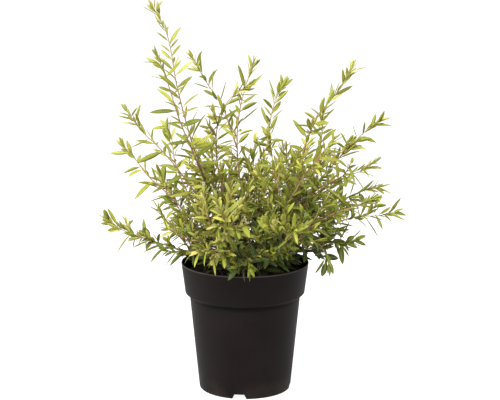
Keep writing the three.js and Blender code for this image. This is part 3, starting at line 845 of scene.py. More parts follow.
def end_leaf(shoot, shoot_index):
    tangent, _, over = shoot.axes(shoot.wood)
    return {"root": shoot.spot(shoot.wood), "way": tangent, "upper": over, "length": END_LEAF_LENGTH,
        "bow": 0, "share": 1, "width": END_LEAF_WIDTH, "shoot": shoot_index}


def tuft_leaf(shoot, index, stem_index, shoot_index):
    share = shoot.wood - TUFT_START * (1 - index / TUFT_LEAVES) / shoot.length
    tangent, side, over = shoot.axes(share)
    first_turn = 360 * share_of(stem_index, shoot_index, TUFT_DRAWS["turn"])
    turn = math.radians(LEAF_TURN * index + first_turn)
    angle_chance = share_of(stem_index, shoot_index, TUFT_DRAWS["angle"] + index)
    angle = math.radians(mix(*TUFT_ANGLES, angle_chance))
    way = turned(tangent, turned(side, over, turn), angle)
    length = mix(*TUFT_LENGTHS, share_of(stem_index, shoot_index, TUFT_DRAWS["length"] + index))
    return {"root": shoot.spot(share), "way": way, "upper": unit(tangent - way * np.dot(tangent, way)),
        "length": length, "bow": TUFT_BOW, "share": 1, "width": length * TUFT_WIDTH_SHARE,
        "shoot": shoot_index}


for stem_index, stem in enumerate(stems):
    for shoot_index, shoot in enumerate(stem["shoots"]):
        stem["leaves"].append(end_leaf(shoot, shoot_index))
        for index in range(TUFT_LEAVES):
            stem["leaves"].append(tuft_leaf(shoot, index, stem_index, shoot_index))
print("leaves with the tufts:", sum(len(stem["leaves"]) for stem in stems))

# %% [markdown]
# ## Age and light
# On the real plant the young outer leaves are bright, and the old ones inside are a deep green. So each
# leaf gets an age from 0 to 1 by how far out it stands and how near the shoot's tip. Painted light and
# shade go into the age as well: the upper left is made younger and so lighter, and the lower right older
# and darker. A fixed share for each shoot and each leaf keeps neighbours from looking alike.

# %% How old a leaf looks
OUTER_REACH = (60, 170)
OUTER_RISE = (140, 250)
OUTER_AGE = 0.12
INNER_AGE = 0.85
INNER_TIP_SHARE = 0.4
SHOOT_FOOT_AGES = (0.3, 0.2)
SHOOT_AGE = (-0.16, 0.32)
SHOOT_TIP_SHARE = 0.25
# SHADY_* and LIGHT_* paint light and shade into the leaves' colour through their age.
SHADY_SIDE = (-80, 60)
SHADY_AGE = (-0.14, 0.12)
LIGHT_MIDDLE = 212
LIGHT_ACROSS = (-70, -10, 20, 75)
LIGHT_AGES = (0.16, 0, 0, -0.2)
LIGHT_TOP = (260, 300)
LIGHT_SIDES = (-75, -40, 60, 100)
AGE_SPREAD = 0.36
OUTER_SPREAD_SHARE = 0.45
YOUNGEST_AGE = 0.1


def outerness(leaf):
    x, y, z = leaf["root"] + leaf["way"] * leaf["length"] / 2
    return max(np.interp(math.hypot(x, y), OUTER_REACH, (0, 1)), np.interp(z, OUTER_RISE, (0, 1)))


def light_age(x, z):
    across = np.interp(z - LIGHT_MIDDLE - x, LIGHT_ACROSS, LIGHT_AGES)
    return across * np.interp(z, LIGHT_TOP, (1, 0)) * np.interp(x, LIGHT_SIDES, (0, 1, 1, 0))


def leaf_age(leaf, outer, chance, shoot_chance, older):
    along_shoot = 1 - leaf["share"]
    is_side_leaf = leaf["share"] < 1
    age = OUTER_AGE if is_side_leaf else 0
    age += INNER_AGE * (1 - outer) * mix(INNER_TIP_SHARE, 1, along_shoot)
    age += mix(*SHOOT_FOOT_AGES, outer) * along_shoot
    age += older
    age += mix(*SHOOT_AGE, shoot_chance) * mix(SHOOT_TIP_SHARE, 1, along_shoot)
    # Painted shade: inner leaves are made younger and lighter to the left, and older and darker to the
    # right.
    age += np.interp(leaf["root"][0], SHADY_SIDE, SHADY_AGE) * (1 - outer)
    # Painted light and shade: the upper left is made younger and lighter, and the lower right older and
    # darker.
    age += light_age(leaf["root"][0], leaf["root"][2])
    age += mix(-AGE_SPREAD, AGE_SPREAD, chance) * mix(1, OUTER_SPREAD_SHARE, outer)
    return min(1, max(YOUNGEST_AGE if is_side_leaf else 0, age))


print("a leaf is outer from", OUTER_REACH[1], "mm aside or", OUTER_RISE[1], "mm up")

# %% [markdown]
# ## Shape of each leaf
# A leaf is wider the longer and older it is, and those inside the plant are narrower. It rolls about its
# own axis, curls to one side and sags a little. The row of a leaf holds all this as attributes for the
# geometry tree.

# %% One row of the plan for each leaf
INNER_WIDTHS = (0.55, 0.98)
OUTER_WIDTHS = (0.74, 1.16)
AGE_WIDTHS = (0.9, 1.4)
INNER_ROLL = (0, 35)
OUTER_ROLL = (25, 75)
AGE_ROLL = (1, 0.5)
LEAF_CURL = 0.14
LEAF_SAG = 0.1
ROW_STRIDE = 0.618
ROW_DRAWS = (7, 8, 9, 10, 12)
SHOOT_AGE_DRAW = 300


def row_roll(chance, outer, age):
    rolls = [mix(inner, outside, outer) for inner, outside in zip(INNER_ROLL, OUTER_ROLL)]
    return math.radians(math.copysign(mix(*rolls, abs(chance)), chance)) * mix(*AGE_ROLL, age)


def leaf_row(leaf, stem, stem_index, leaf_index):
    chances = [share_of(stem_index, draw, leaf_index * ROW_STRIDE) for draw in ROW_DRAWS]
    width_chance, tone, curl_chance, age_chance, roll_chance = chances
    outer = outerness(leaf)
    shoot_chance = share_of(stem_index, leaf["shoot"], SHOOT_AGE_DRAW)
    age = leaf_age(leaf, outer, age_chance, shoot_chance, stem["older"])
    side = np.cross(leaf["upper"], leaf["way"])
    upper = turned(leaf["upper"], side, row_roll(2 * roll_chance - 1, outer, age))
    spread = mix(mix(*INNER_WIDTHS, width_chance), mix(*OUTER_WIDTHS, width_chance), outer)
    spread *= mix(*AGE_WIDTHS, age)
    full_width = LEAF_WIDTH * (leaf["length"] / LEAF_LENGTHS[1]) ** 0.5
    width = leaf.get("width", full_width * spread) * stem["broad"]
    curl = side * mix(-LEAF_CURL, LEAF_CURL, curl_chance)
    droop = leaf["upper"] * leaf["bow"] + curl - UP * LEAF_SAG * tone
    return {"is_leaf": 1.0, "leaf_way": leaf["way"], "leaf_upper": upper, "age": age, "tone": tone,
        "leaf_size": [leaf["length"], width, width], "leaf_droop": droop * leaf["length"]}


print("a leaf at the top age is", AGE_WIDTHS[1], "times as wide as planned")

# %% [markdown]
# ## Plan of a stem
# The geometry tree needs to know where everything goes. The plan is a mesh without faces: its edges run
# along the shoots, and its loose points are the roots of the leaves. Each point carries attributes, such as
# the thickness of the wood there or the size of a leaf. Python only writes the plan, and the tree makes the
# surfaces. The wood is drawn thinner than its solid, because a solid needs some thickness to be handled.

# %% Write the plan of one stem
WOOD_STEP = 5
FEWEST_WOOD_STEPS = 4
WOOD_SHARES = (0.76, 0.52)
FORK_YOUTH = 0.5
PLAN_NUMBERS = ("is_leaf", "thickness", "age", "tone")
PLAN_VECTORS = ("leaf_way", "leaf_upper", "leaf_size", "leaf_droop")
MEASURED = ("thickness", "leaf_size", "leaf_droop")


def wood_points(stem, shoot_index):
    shoot = stem["shoots"][shoot_index]
    count = max(FEWEST_WOOD_STEPS, round(shoot.length * shoot.wood / WOOD_STEP))
    shares = np.linspace(0, shoot.wood, count + 1)
    spots, ages = shoot.at(shares), 1 - shares
    radii = shoot.radius(shares) * mix(*WOOD_SHARES, np.sqrt(shares))
    if shoot_index:
        spots[0] = stem["shoots"][0].spot(stem["from"][shoot_index])
        return spots, radii, ages * (1 - FORK_YOUTH * stem["from"][shoot_index])
    spots = np.vstack([stem["foot"], spots])
    return spots, np.concatenate([radii[:1], radii]), np.concatenate([[1], ages])


def plan_rows(stem, stem_index):
    spots, edges, rows = [], [], []
    for shoot_index in range(len(stem["shoots"])):
        points, radii, ages = wood_points(stem, shoot_index)
        edges += [(len(spots) + step, len(spots) + step + 1) for step in range(len(points) - 1)]
        spots += list(points)
        rows += [{"thickness": radius, "age": age} for radius, age in zip(radii, ages)]
    spots += [leaf["root"] for leaf in stem["leaves"]]
    rows += [leaf_row(leaf, stem, stem_index, index) for index, leaf in enumerate(stem["leaves"])]
    return spots, edges, rows


def plan_of(stem, stem_index):
    spots, edges, rows = plan_rows(stem, stem_index)
    mesh = bpy.data.meshes.new("plan")
    mesh.from_pydata([tuple(spot * METRE) for spot in np.array(spots)], edges, [])
    for name in PLAN_NUMBERS:
        scale = METRE if name in MEASURED else 1
        values = np.array([row.get(name, 0) * scale for row in rows], np.float32)
        mesh.attributes.new(name, "FLOAT", "POINT").data.foreach_set("value", values)
    for name in PLAN_VECTORS:
        scale = METRE if name in MEASURED else 1
        values = np.array([row.get(name, (0, 0, 0)) for row in rows], np.float32) * scale
        mesh.attributes.new(name, "FLOAT_VECTOR", "POINT").data.foreach_set("vector", values.ravel())
    return mesh


print("wood is followed in steps of", WOOD_STEP, "mm")

# %% [markdown]
# ## A leaf blade in nodes
# The real blade is narrow, widest in the middle and pointed, folds a little along its midrib, and is thin
# at its margin. It starts as a flat grid one unit long. A curve gives the width along it, and the grid is
# moved to that outline twice: once for the upper face and once, turned over, for the underside. Merging
# their shared margin closes the blade. It has only four dozen faces, because it is repeated over four
# thousand times.

# %% The blade part of the tree
BLADE_OUTLINE = [(0, 0.16), (0.08, 0.2), (0.22, 0.7), (0.45, 1), (0.7, 0.86), (0.87, 0.5), (1, 0)]
MARGIN_MERGE = 0.0005


def blade_outline(tree, along):
    curve = add(tree, "ShaderNodeFloatCurve", {"Value": along})
    line = curve.mapping.curves[0]
    line.points[0].location = BLADE_OUTLINE[0]
    line.points[-1].location = BLADE_OUTLINE[-1]
    for place, width in BLADE_OUTLINE[1:-1]:
        line.points.new(place, width)
    curve.mapping.update()
    return product(tree, curve.outputs["Value"], 0.5)


def blade_face(tree, grid, sizes, lifted):
    along, across = attribute(tree, "along"), attribute(tree, "across")
    aside = product(tree, across, blade_outline(tree, along))
    fold = product(tree, number(tree, "ABSOLUTE", aside), sizes["Blade fold"])
    round_off = number(tree, "SUBTRACT", 1.0, product(tree, across, across))
    ends = product(tree, along, number(tree, "SUBTRACT", 1.0, along), 4.0)
    body = product(tree, round_off, ends, sizes["Blade thickness"])
    height = number(tree, "ADD" if lifted else "SUBTRACT", fold, body)
    place = add(tree, "ShaderNodeCombineXYZ", {"X": along, "Y": aside, "Z": height}).outputs[0]
    moved = add(tree, "GeometryNodeSetPosition", {"Geometry": grid, "Position": place}).outputs[0]
    marked = store(tree, moved, "underside", 0.0 if lifted else 1.0)
    return marked if lifted else add(tree, "GeometryNodeFlipFaces", {"Mesh": marked}).outputs[0]


def flat_blade(tree, sizes, columns):
    lengthways, crossways = (number(tree, "ADD", count, 1.0) for count in (sizes["Blade rows"], columns))
    inputs = {"Size X": 1.0, "Size Y": 2.0, "Vertices X": lengthways, "Vertices Y": crossways}
    grid = add(tree, "GeometryNodeMeshGrid", inputs).outputs["Mesh"]
    place = add(tree, "GeometryNodeInputPosition").outputs[0]
    parts = add(tree, "ShaderNodeSeparateXYZ", {"Vector": place}).outputs
    grid = store(tree, grid, "along", number(tree, "ADD", parts["X"], 0.5))
    grid = store(tree, grid, "across", parts["Y"])
    return store(tree, grid, "blade", 1.0)


def leaf_blade(tree, sizes):
    shell = add(tree, "GeometryNodeJoinGeometry")
    below = flat_blade(tree, sizes, sizes["Underside columns"])
    above = flat_blade(tree, sizes, sizes["Blade columns"])
    tree.links.new(blade_face(tree, below, sizes, False), shell.inputs[0])
    tree.links.new(blade_face(tree, above, sizes, True), shell.inputs[0])
    inputs = {"Geometry": shell.outputs[0], "Distance": MARGIN_MERGE}
    return add(tree, "GeometryNodeMergeByDistance", inputs).outputs[0]


print("the blade is widest at", max(BLADE_OUTLINE, key=lambda corner: corner[1])[0], "of its length")

# %% [markdown]
# ## The tree that grows a stem
# The tree splits the plan in two. Its edges become curves and then round wood, as thick as the plan says.
# Its loose points get a blade each, turned and scaled by their attributes. Once the blades are real mesh,
# each bends by its own droop, most at its tip. Set Material comes last, and puts leaf colour on the blades
# and bark on the rest.

# %% Build the tree
STEM_SIZES = {
    "Wood sides": ("NodeSocketInt", 8),
    "Blade rows": ("NodeSocketInt", 8),
    "Blade columns": ("NodeSocketInt", 4),
    "Underside columns": ("NodeSocketInt", 2),
    "Blade fold": ("NodeSocketFloat", 0.3),
    "Blade thickness": ("NodeSocketFloat", 0.045),
}


def new_tree(name, sizes, materials):
    tree = bpy.data.node_groups.new(name, "GeometryNodeTree")
    tree.interface.new_socket("Plan", in_out="INPUT", socket_type="NodeSocketGeometry")
    for label, (kind, value) in sizes.items():
        tree.interface.new_socket(label, in_out="INPUT", socket_type=kind).default_value = value
    for label in materials:
        tree.interface.new_socket(label, in_out="INPUT", socket_type="NodeSocketMaterial")
    tree.interface.new_socket("Result", in_out="OUTPUT", socket_type="NodeSocketGeometry")
    return tree, add(tree, "NodeGroupInput").outputs


def set_material(tree, geometry, material, **selection):
    inputs = {"Geometry": geometry, "Material": material, **selection}
    return add(tree, "GeometryNodeSetMaterial", inputs).outputs[0]


def wood_of(tree, edges, sizes):
    curve = add(tree, "GeometryNodeMeshToCurve", {"Mesh": edges}).outputs[0]
    ring = add(tree, "GeometryNodeCurvePrimitiveCircle", {"Resolution": sizes["Wood sides"], "Radius": 1.0})
    inputs = {"Curve": curve, "Profile Curve": ring.outputs[0], "Scale": attribute(tree, "thickness"),
        "Fill Caps": True}
    return add(tree, "GeometryNodeCurveToMesh", inputs).outputs[0]


def leaves_of(tree, points, sizes):
    directions = {"Primary Axis": attribute(tree, "leaf_way", "FLOAT_VECTOR"),
        "Secondary Axis": attribute(tree, "leaf_upper", "FLOAT_VECTOR")}
    rotation = add(tree, "FunctionNodeAxesToRotation", directions, primary_axis="X", secondary_axis="Z")
    inputs = {"Points": points, "Instance": leaf_blade(tree, sizes), "Rotation": rotation.outputs[0],
        "Scale": attribute(tree, "leaf_size", "FLOAT_VECTOR")}
    return add(tree, "GeometryNodeInstanceOnPoints", inputs).outputs[0]


def finish_tree(tree, geometry, bark, leaf):
    real = add(tree, "GeometryNodeRealizeInstances", {"Geometry": geometry}).outputs[0]
    far = number(tree, "POWER", attribute(tree, "along"), 2.0)
    inputs = {0: attribute(tree, "leaf_droop", "FLOAT_VECTOR"), "Scale": far}
    droop = add(tree, "ShaderNodeVectorMath", inputs, operation="SCALE").outputs[0]
    bent = add(tree, "GeometryNodeSetPosition", {"Geometry": real, "Offset": droop}).outputs[0]
    smooth = add(tree, "GeometryNodeSetShadeSmooth", {"Geometry": bent, "Shade Smooth": True}).outputs[0]
    on_blade = number(tree, "GREATER_THAN", attribute(tree, "blade"), 0.5)
    return set_material(tree, set_material(tree, smooth, bark), leaf, Selection=on_blade)


def leafy_stem_tree():
    tree, sizes = new_tree("Leafy stem", STEM_SIZES, ["Bark", "Leaf"])
    is_leaf = number(tree, "GREATER_THAN", attribute(tree, "is_leaf"), 0.5)
    inputs = {"Geometry": sizes["Plan"], "Selection": is_leaf}
    halves = add(tree, "GeometryNodeSeparateGeometry", inputs).outputs
    whole = add(tree, "GeometryNodeJoinGeometry")
    tree.links.new(leaves_of(tree, halves["Selection"], sizes), whole.inputs[0])
    tree.links.new(wood_of(tree, halves["Inverted"], sizes), whole.inputs[0])
    result = finish_tree(tree, whole.outputs[0], sizes["Bark"], sizes["Leaf"])
    add(tree, "NodeGroupOutput", {"Result": result})
    return tree


stem_tree = leafy_stem_tree()
print("nodes in the tree:", len(stem_tree.nodes))

# %% [markdown]
# ## Materials in a few words
# Each finish starts from Blender's Principled shader. Its colour, roughness and bump come from noise and
# from attributes that lie on the mesh, so that a pattern stays where it is from any side. The helpers below
# blend two colours, shade one, map a range of values to another, and link the three results. The Mix node
# has its two colours on inputs 6 and 7.

# %% Helpers for materials
NOISE_RANGE = (0.3, 0.7)


def new_material(name, **values):
    material = bpy.data.materials.new(name)
    material.use_nodes = True
    shader = material.node_tree.nodes["Principled BSDF"]
    for label, value in values.items():
        shader.inputs[label.replace("_", " ")].default_value = value
    return material, material.node_tree, shader


def mixed(tree, share, one, two, blend="MIX"):
    inputs = {0: share, 6: one, 7: two}
    return add(tree, "ShaderNodeMix", inputs, data_type="RGBA", blend_type=blend).outputs[2]


def shaded(tree, colour, shade):
    grey = add(tree, "ShaderNodeCombineColor", {0: shade, 1: shade, 2: shade}).outputs[0]
    return mixed(tree, 1.0, colour, grey, "MULTIPLY")


def ranged(tree, value, low, high, to_low=0.0, to_high=1.0):
    inputs = {"Value": value, "From Min": low, "From Max": high, "To Min": to_low, "To Max": to_high}
    return add(tree, "ShaderNodeMapRange", inputs).outputs["Result"]


def varied(tree, pattern, limits):
    return ranged(tree, pattern, *NOISE_RANGE, *limits)


def on_mesh(tree, name):
    return add(tree, "ShaderNodeAttribute", attribute_name=name).outputs["Fac"]


def noise_on(tree, scale, detail=3.0, vector=None):
    place = vector or add(tree, "ShaderNodeTexCoord").outputs["Object"]
    inputs = {"Vector": place, "Scale": scale, "Detail": detail}
    return add(tree, "ShaderNodeTexNoise", inputs).outputs["Fac"]


def finish_surface(tree, shader, colour, roughness, relief, strength, distance):
    tree.links.new(colour, shader.inputs["Base Color"])
    tree.links.new(roughness, shader.inputs["Roughness"])
    bump = add(tree, "ShaderNodeBump", {"Height": relief, "Strength": strength, "Distance": distance})
    tree.links.new(bump.outputs["Normal"], shader.inputs["Normal"])


print("noise is used between", *NOISE_RANGE)

# %% [markdown]
# ## Leaf colour
# The leaves of this plant run from a bright yellow-green at the tips to a deep green inside, so colour
# follows the `age` of each leaf, which also holds painted light and shade. The tone of each leaf differs
# a little, and some have a fresher green. The midrib is paler, the underside is more matt, and the tips of
# the youngest leaves have a warm, pale flush. Fine side veins and the groove of the midrib are in the bump.

# %% Leaf material
LEAF_OLD = (0.036, 0.055, 0.021, 1)
LEAF_RIPE = (0.25, 0.272, 0.037, 1)
LEAF_YOUNG = (0.475, 0.467, 0.058, 1)
LEAF_FRESH = (0.16, 0.27, 0.045, 1)
LEAF_TIP = (0.6, 0.5, 0.24, 1)
MIDRIB = (0.42, 0.43, 0.1, 1)
UNDERSIDE = (0.3, 0.34, 0.065, 1)
LEAF_SHINE = 0.13
LEAF_ROUGHNESS = (0.38, 0.52)
LEAF_CLOUDS = 90.0
RIPE_AGE = 0.45
TIP_AGE = 0.16
TIP_FLUSH = (0.2, 1.0, 0.15, 0.75)
HUE_CYCLES = 7.0
FRESH_HUES = (0.6, 1.0, 0.0, 0.36)
TONE_SHADES = (0.54, 1.16)
CLOUD_SHADES = (-0.1, 0.1)
MIDRIB_REACH = 0.16
MIDRIB_SHARE = 0.4
UNDERSIDE_SHARE = 0.35
UNDERSIDE_ROUGHER = 0.2
VEIN_SLANT = 0.12
VEIN_WAVES = 44.0
GROOVE_REACH = 0.2
GROOVE_DEPTH = 3.0
LEAF_BUMP = (0.1, 0.0002)


def leaf_colour(tree, cloudy, off_rib, along, underside):
    age, tone = on_mesh(tree, "age"), on_mesh(tree, "tone")
    # The age holds painted light and shade as well as the leaf's real age.
    colour = mixed(tree, ranged(tree, age, 0.0, RIPE_AGE), LEAF_YOUNG, LEAF_RIPE)
    colour = mixed(tree, ranged(tree, age, RIPE_AGE, 1.0), colour, LEAF_OLD)
    flush = product(tree, ranged(tree, age, TIP_AGE, 0.0), ranged(tree, along, *TIP_FLUSH))
    colour = mixed(tree, flush, colour, LEAF_TIP)
    hue = number(tree, "FRACT", product(tree, tone, HUE_CYCLES))
    colour = mixed(tree, ranged(tree, hue, *FRESH_HUES), colour, LEAF_FRESH)
    tone_shade = ranged(tree, tone, 0.0, 1.0, *TONE_SHADES)
    colour = shaded(tree, colour, number(tree, "ADD", tone_shade, varied(tree, cloudy, CLOUD_SHADES)))
    rib = product(tree, ranged(tree, off_rib, MIDRIB_REACH, 0.0), MIDRIB_SHARE)
    colour = mixed(tree, rib, colour, MIDRIB)
    return mixed(tree, product(tree, underside, UNDERSIDE_SHARE), colour, UNDERSIDE)


def leaf_finish():
    material, tree, shader = new_material("Myrtle leaf", Specular_IOR_Level=LEAF_SHINE)
    along, underside = on_mesh(tree, "along"), on_mesh(tree, "underside")
    off_rib = number(tree, "ABSOLUTE", on_mesh(tree, "across"))
    cloudy = noise_on(tree, LEAF_CLOUDS)
    colour = leaf_colour(tree, cloudy, off_rib, along, underside)
    rougher = product(tree, underside, UNDERSIDE_ROUGHER)
    roughness = number(tree, "ADD", varied(tree, cloudy, LEAF_ROUGHNESS), rougher)
    slanted = number(tree, "SUBTRACT", along, product(tree, off_rib, VEIN_SLANT))
    veins = number(tree, "SINE", product(tree, slanted, VEIN_WAVES))
    groove = ranged(tree, off_rib, GROOVE_REACH, 0.0, 0.0, -GROOVE_DEPTH)
    finish_surface(tree, shader, colour, roughness, number(tree, "ADD", veins, groove), *LEAF_BUMP)
    return material


leaf_material = leaf_finish()
print("leaf colours run from young to old over age 0 to 1")

# %% [markdown]
# ## Bark
# Old wood low on the stems is grey-brown. Higher up the bark is smooth and red-brown, and it turns pale
# near the tips. Fine streaks run along it, and small pale specks break it up. The plan gives the age along
# the wood.

# %% Bark material
BARK_YOUNG = (0.44, 0.32, 0.16, 1)
BARK_RED = (0.4, 0.2, 0.115, 1)
BARK_OLD = (0.1, 0.066, 0.046, 1)
BARK_SPECK = (0.3, 0.2, 0.13, 1)
BARK_SHINE = 0.3
BARK_ROUGHNESS = (0.5, 0.7)
BARK_STREAKS = (420.0, 4.0)
BARK_SHADES = (0.75, 1.2)
RED_AGES = (0.06, 0.3)
OLD_AGES = (0.4, 0.85)
SPECK_SCALE = 900.0
SPECK_RANGE = (0.6, 0.7)
SPECK_SHARE = 0.4
BARK_BUMP = (0.35, 0.0003)


def bark_finish():
    material, tree, shader = new_material("Myrtle bark", Specular_IOR_Level=BARK_SHINE)
    age = on_mesh(tree, "age")
    streaks = noise_on(tree, *BARK_STREAKS)
    colour = mixed(tree, ranged(tree, age, *RED_AGES), BARK_YOUNG, BARK_RED)
    colour = mixed(tree, ranged(tree, age, *OLD_AGES), colour, BARK_OLD)
    colour = shaded(tree, colour, varied(tree, streaks, BARK_SHADES))
    specks = product(tree, ranged(tree, noise_on(tree, SPECK_SCALE), *SPECK_RANGE), SPECK_SHARE)
    colour = mixed(tree, specks, colour, BARK_SPECK)
    finish_surface(tree, shader, colour, varied(tree, streaks, BARK_ROUGHNESS), streaks, *BARK_BUMP)
    return material


bark_material = bark_finish()
print("bark turns from pale to red-brown to grey-brown with age")

# %% [markdown]
# ## Grow the stems
# Each stem with its leaves is one body, so it becomes one plain mesh that takes the place of its solid. The
# object with the tree on it is evaluated, the result is copied as a mesh, and the tree's own object is
# removed. Comparing the box of each stem with the box of its solid shows how far the finer leaves and
# sprigs reach past it.

# %% Grow one plain mesh for each stem
def object_of(name, mesh):
    piece = bpy.data.objects.new(name, mesh)
    bpy.context.scene.collection.objects.link(piece)
    return piece


def evaluated_mesh(holder):
    graph = bpy.context.evaluated_depsgraph_get()
    return bpy.data.meshes.new_from_object(holder.evaluated_get(graph), depsgraph=graph)


def socket_name(tree, label):
    inputs = [item for item in tree.interface.items_tree if item.in_out == "INPUT"]
    return next(item.identifier for item in inputs if item.name == label)


def grown(name, mesh, tree, materials):
    source = object_of(name + "_plan", mesh)
    modifier = source.modifiers.new("Grow", "NODES")
    modifier.node_group = tree
    for label, material in materials.items():
        modifier[socket_name(tree, label)] = material
    result = evaluated_mesh(source)
    source.modifiers.remove(modifier)
    bpy.data.objects.remove(source)
    result.name = name
    return object_of(name, result)


def triangles(piece):
    return sum(len(face.vertices) - 2 for face in piece.data.polygons)


def dress(piece, slot, *nodes):
    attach(piece, "root")
    if nodes:
        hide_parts(*nodes)


def box_difference(piece, node):
    corners = np.array([vertex.co for vertex in piece.data.vertices])
    return np.abs(np.array([corners.min(0), corners.max(0)]) - np.array(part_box(node))).max()


stem_total = 0
widest_step = 0
for stem_index, stem in enumerate(stems):
    name = f"myrtle_stem_{stem_index + 1:02d}"
    node_name = f"leafy_stem_{stem_index + 1:02d}"
    materials = {"Bark": bark_material, "Leaf": leaf_material}
    piece = grown(name, plan_of(stem, stem_index), stem_tree, materials)
    dress(piece, "stems_and_leaves", node_name)
    stem_total += triangles(piece)
    widest_step = max(widest_step, box_difference(piece, node_name))
print("stems:", len(stems), "triangles:", stem_total)
print("most that a finer stem's box differs from its solid's:", round(widest_step / METRE, 1), "mm")

# %% [markdown]
# ## The pot
# A nursery pot is moulded in one shot from thin black plastic. It has a plain collar that a chamfer joins
# to a tapering wall, a foot ring with drain notches, and drain holes in a raised channel of its floor. A
# spin of its outline gives the body. Small arcs round the outline's corners first, as a mould does.

# %% Outline of the pot
RIM_LIP = 0.8
COLLAR_FOOT_RADIUS = 65.7
COLLAR_FOOT_HEIGHT = 108.6
WALL_TOP_RADIUS = 61
WALL_TOP_HEIGHT = 105.5
FOOT_RADIUS = 50.5
FOOT_ROUNDING = 1
POT_WALL = 1.5
MIDDLE_RADIUS = 22
CHANNEL_SLOPE = 3
CHANNEL_HEIGHT = 6
FOOT_RING_WIDTH = 4
CORNER_ROUNDING = 0.7
CORNER_STEPS = 3
LONGEST_ROUNDING = 0.45
FLOOR_TOP = CHANNEL_HEIGHT + POT_WALL


def pot_inside(clear=0):
    return [
        (COLLAR_FOOT_RADIUS - POT_WALL - clear, COLLAR_FOOT_HEIGHT + POT_WALL + clear),
        (WALL_TOP_RADIUS - POT_WALL - clear, WALL_TOP_HEIGHT + POT_WALL + clear),
        (FOOT_RADIUS - POT_WALL - clear, FLOOR_TOP + clear),
    ]


def pot_outline():
    ring_inside = FOOT_RADIUS - FOOT_ROUNDING - FOOT_RING_WIDTH
    return [
        (0, 0),
        (MIDDLE_RADIUS, 0),
        (MIDDLE_RADIUS + CHANNEL_SLOPE, CHANNEL_HEIGHT),
        (ring_inside - CHANNEL_SLOPE, CHANNEL_HEIGHT),
        (ring_inside, 0),
        (FOOT_RADIUS - FOOT_ROUNDING, 0),
        (FOOT_RADIUS, FOOT_ROUNDING),
        (WALL_TOP_RADIUS, WALL_TOP_HEIGHT),
        (COLLAR_FOOT_RADIUS, COLLAR_FOOT_HEIGHT),
        (RIM_RADIUS, POT_HEIGHT - RIM_LIP),
        (RIM_RADIUS - RIM_LIP / 2, POT_HEIGHT),
        (RIM_RADIUS - POT_WALL, POT_HEIGHT - RIM_LIP),
        *pot_inside(),
        (MIDDLE_RADIUS + CHANNEL_SLOPE - POT_WALL, FLOOR_TOP),
        (MIDDLE_RADIUS - POT_WALL, POT_WALL),
        (0, POT_WALL),
    ]


def rounded(outline, rounding):
    corners = [np.array(corner, float) for corner in outline]
    smooth = [corners[0]]
    for before, corner, after in zip(corners, corners[1:], corners[2:]):
        back, forth = before - corner, after - corner
        shorter = [np.linalg.norm(edge) * LONGEST_ROUNDING for edge in (back, forth)]
        reach = min(rounding, *shorter)
        start, end = corner + unit(back) * reach, corner + unit(forth) * reach
        for step in range(CORNER_STEPS + 1):
            share = step / CORNER_STEPS
            smooth.append(start * (1 - share) ** 2 + corner * 2 * share * (1 - share) + end * share**2)
    return smooth + [corners[-1]]


def circle(radius, sides, height, x=0, y=0):
    turns = [math.tau * side / sides for side in range(sides)]
    return [(x + radius * math.cos(turn), y + radius * math.sin(turn), height) for turn in turns]


def finished(shape, name):
    bmesh.ops.recalc_face_normals(shape, faces=shape.faces)
    mesh = bpy.data.meshes.new(name)
    shape.to_mesh(mesh)
    shape.free()
    return mesh


def spun(name, outline, sides):
    shape = bmesh.new()
    rings = []
    for radius, height in outline:
        corners = circle(radius, sides, height) if radius else [(0, 0, height)]
        rings.append([shape.verts.new(corner) for corner in corners])
    for lower, upper in zip(rings, rings[1:]):
        for side in range(sides):
            below = [lower[step % len(lower)] for step in (side, (side + 1) % sides)]
            above = [upper[step % len(upper)] for step in ((side + 1) % sides, side)]
            shape.faces.new(list(dict.fromkeys(below + above)))
    return finished(shape, name)


pot_profile = rounded(pot_outline(), CORNER_ROUNDING)
print("corners in the pot's outline:", len(pot_profile))

# %% [markdown]
# ## Notches and drain holes
# Four notches in the foot ring let water run out, and eight round holes open the channel above them. They
# are cut with a Boolean modifier, because the cutters are simple shapes with exact sizes. The cutters are
# removed afterwards.

# %% Tools that cut the pot
DRAIN_HOLES = 8
DRAIN_HOLE_RADIUS = 4
DRAIN_CIRCLE_RADIUS = 35
DRAIN_HOLE_SIDES = 40
DRAIN_CUT = 4 * POT_WALL
NOTCHES = 4
NOTCH_FIRST_TURN = -7
NOTCH_FOOT_WIDTH = 16
NOTCH_TOP_WIDTH = 10.5
NOTCH_HEIGHT = 5.5
NOTCH_DEPTH = 14
NOTCH_BELOW = 1


def prism(corners, way):
    shape = bmesh.new()
    low = [shape.verts.new(corner) for corner in corners]
    high = [shape.verts.new(np.array(corner) + way) for corner in corners]
    shape.faces.new(low)
    shape.faces.new(reversed(high))
    for side in range(len(low)):
        around = (side + 1) % len(low)
        shape.faces.new([low[side], high[side], high[around], low[around]])
    return finished(shape, "cutter")


def drain_hole(index):
    middle = math.tau * (index + 0.5) / DRAIN_HOLES
    x, y = DRAIN_CIRCLE_RADIUS * math.cos(middle), DRAIN_CIRCLE_RADIUS * math.sin(middle)
    corners = circle(DRAIN_HOLE_RADIUS, DRAIN_HOLE_SIDES, CHANNEL_HEIGHT - POT_WALL, x, y)
    return prism(corners, np.array([0, 0, DRAIN_CUT]))


def foot_notch(index):
    turn = math.radians(NOTCH_FIRST_TURN) + math.tau * index / NOTCHES
    out = np.array([math.sin(turn), -math.cos(turn), 0])
    side = np.array([math.cos(turn), math.sin(turn), 0])
    flare = (NOTCH_FOOT_WIDTH - NOTCH_TOP_WIDTH) / 2 / NOTCH_HEIGHT
    foot, top = NOTCH_FOOT_WIDTH / 2 + flare * NOTCH_BELOW, NOTCH_TOP_WIDTH / 2
    outline = [(-foot, -NOTCH_BELOW), (foot, -NOTCH_BELOW), (top, NOTCH_HEIGHT), (-top, NOTCH_HEIGHT)]
    start = out * (FOOT_RADIUS + NOTCH_DEPTH / 2)
    corners = [start + side * across + UP * height for across, height in outline]
    return prism(corners, -out * NOTCH_DEPTH)


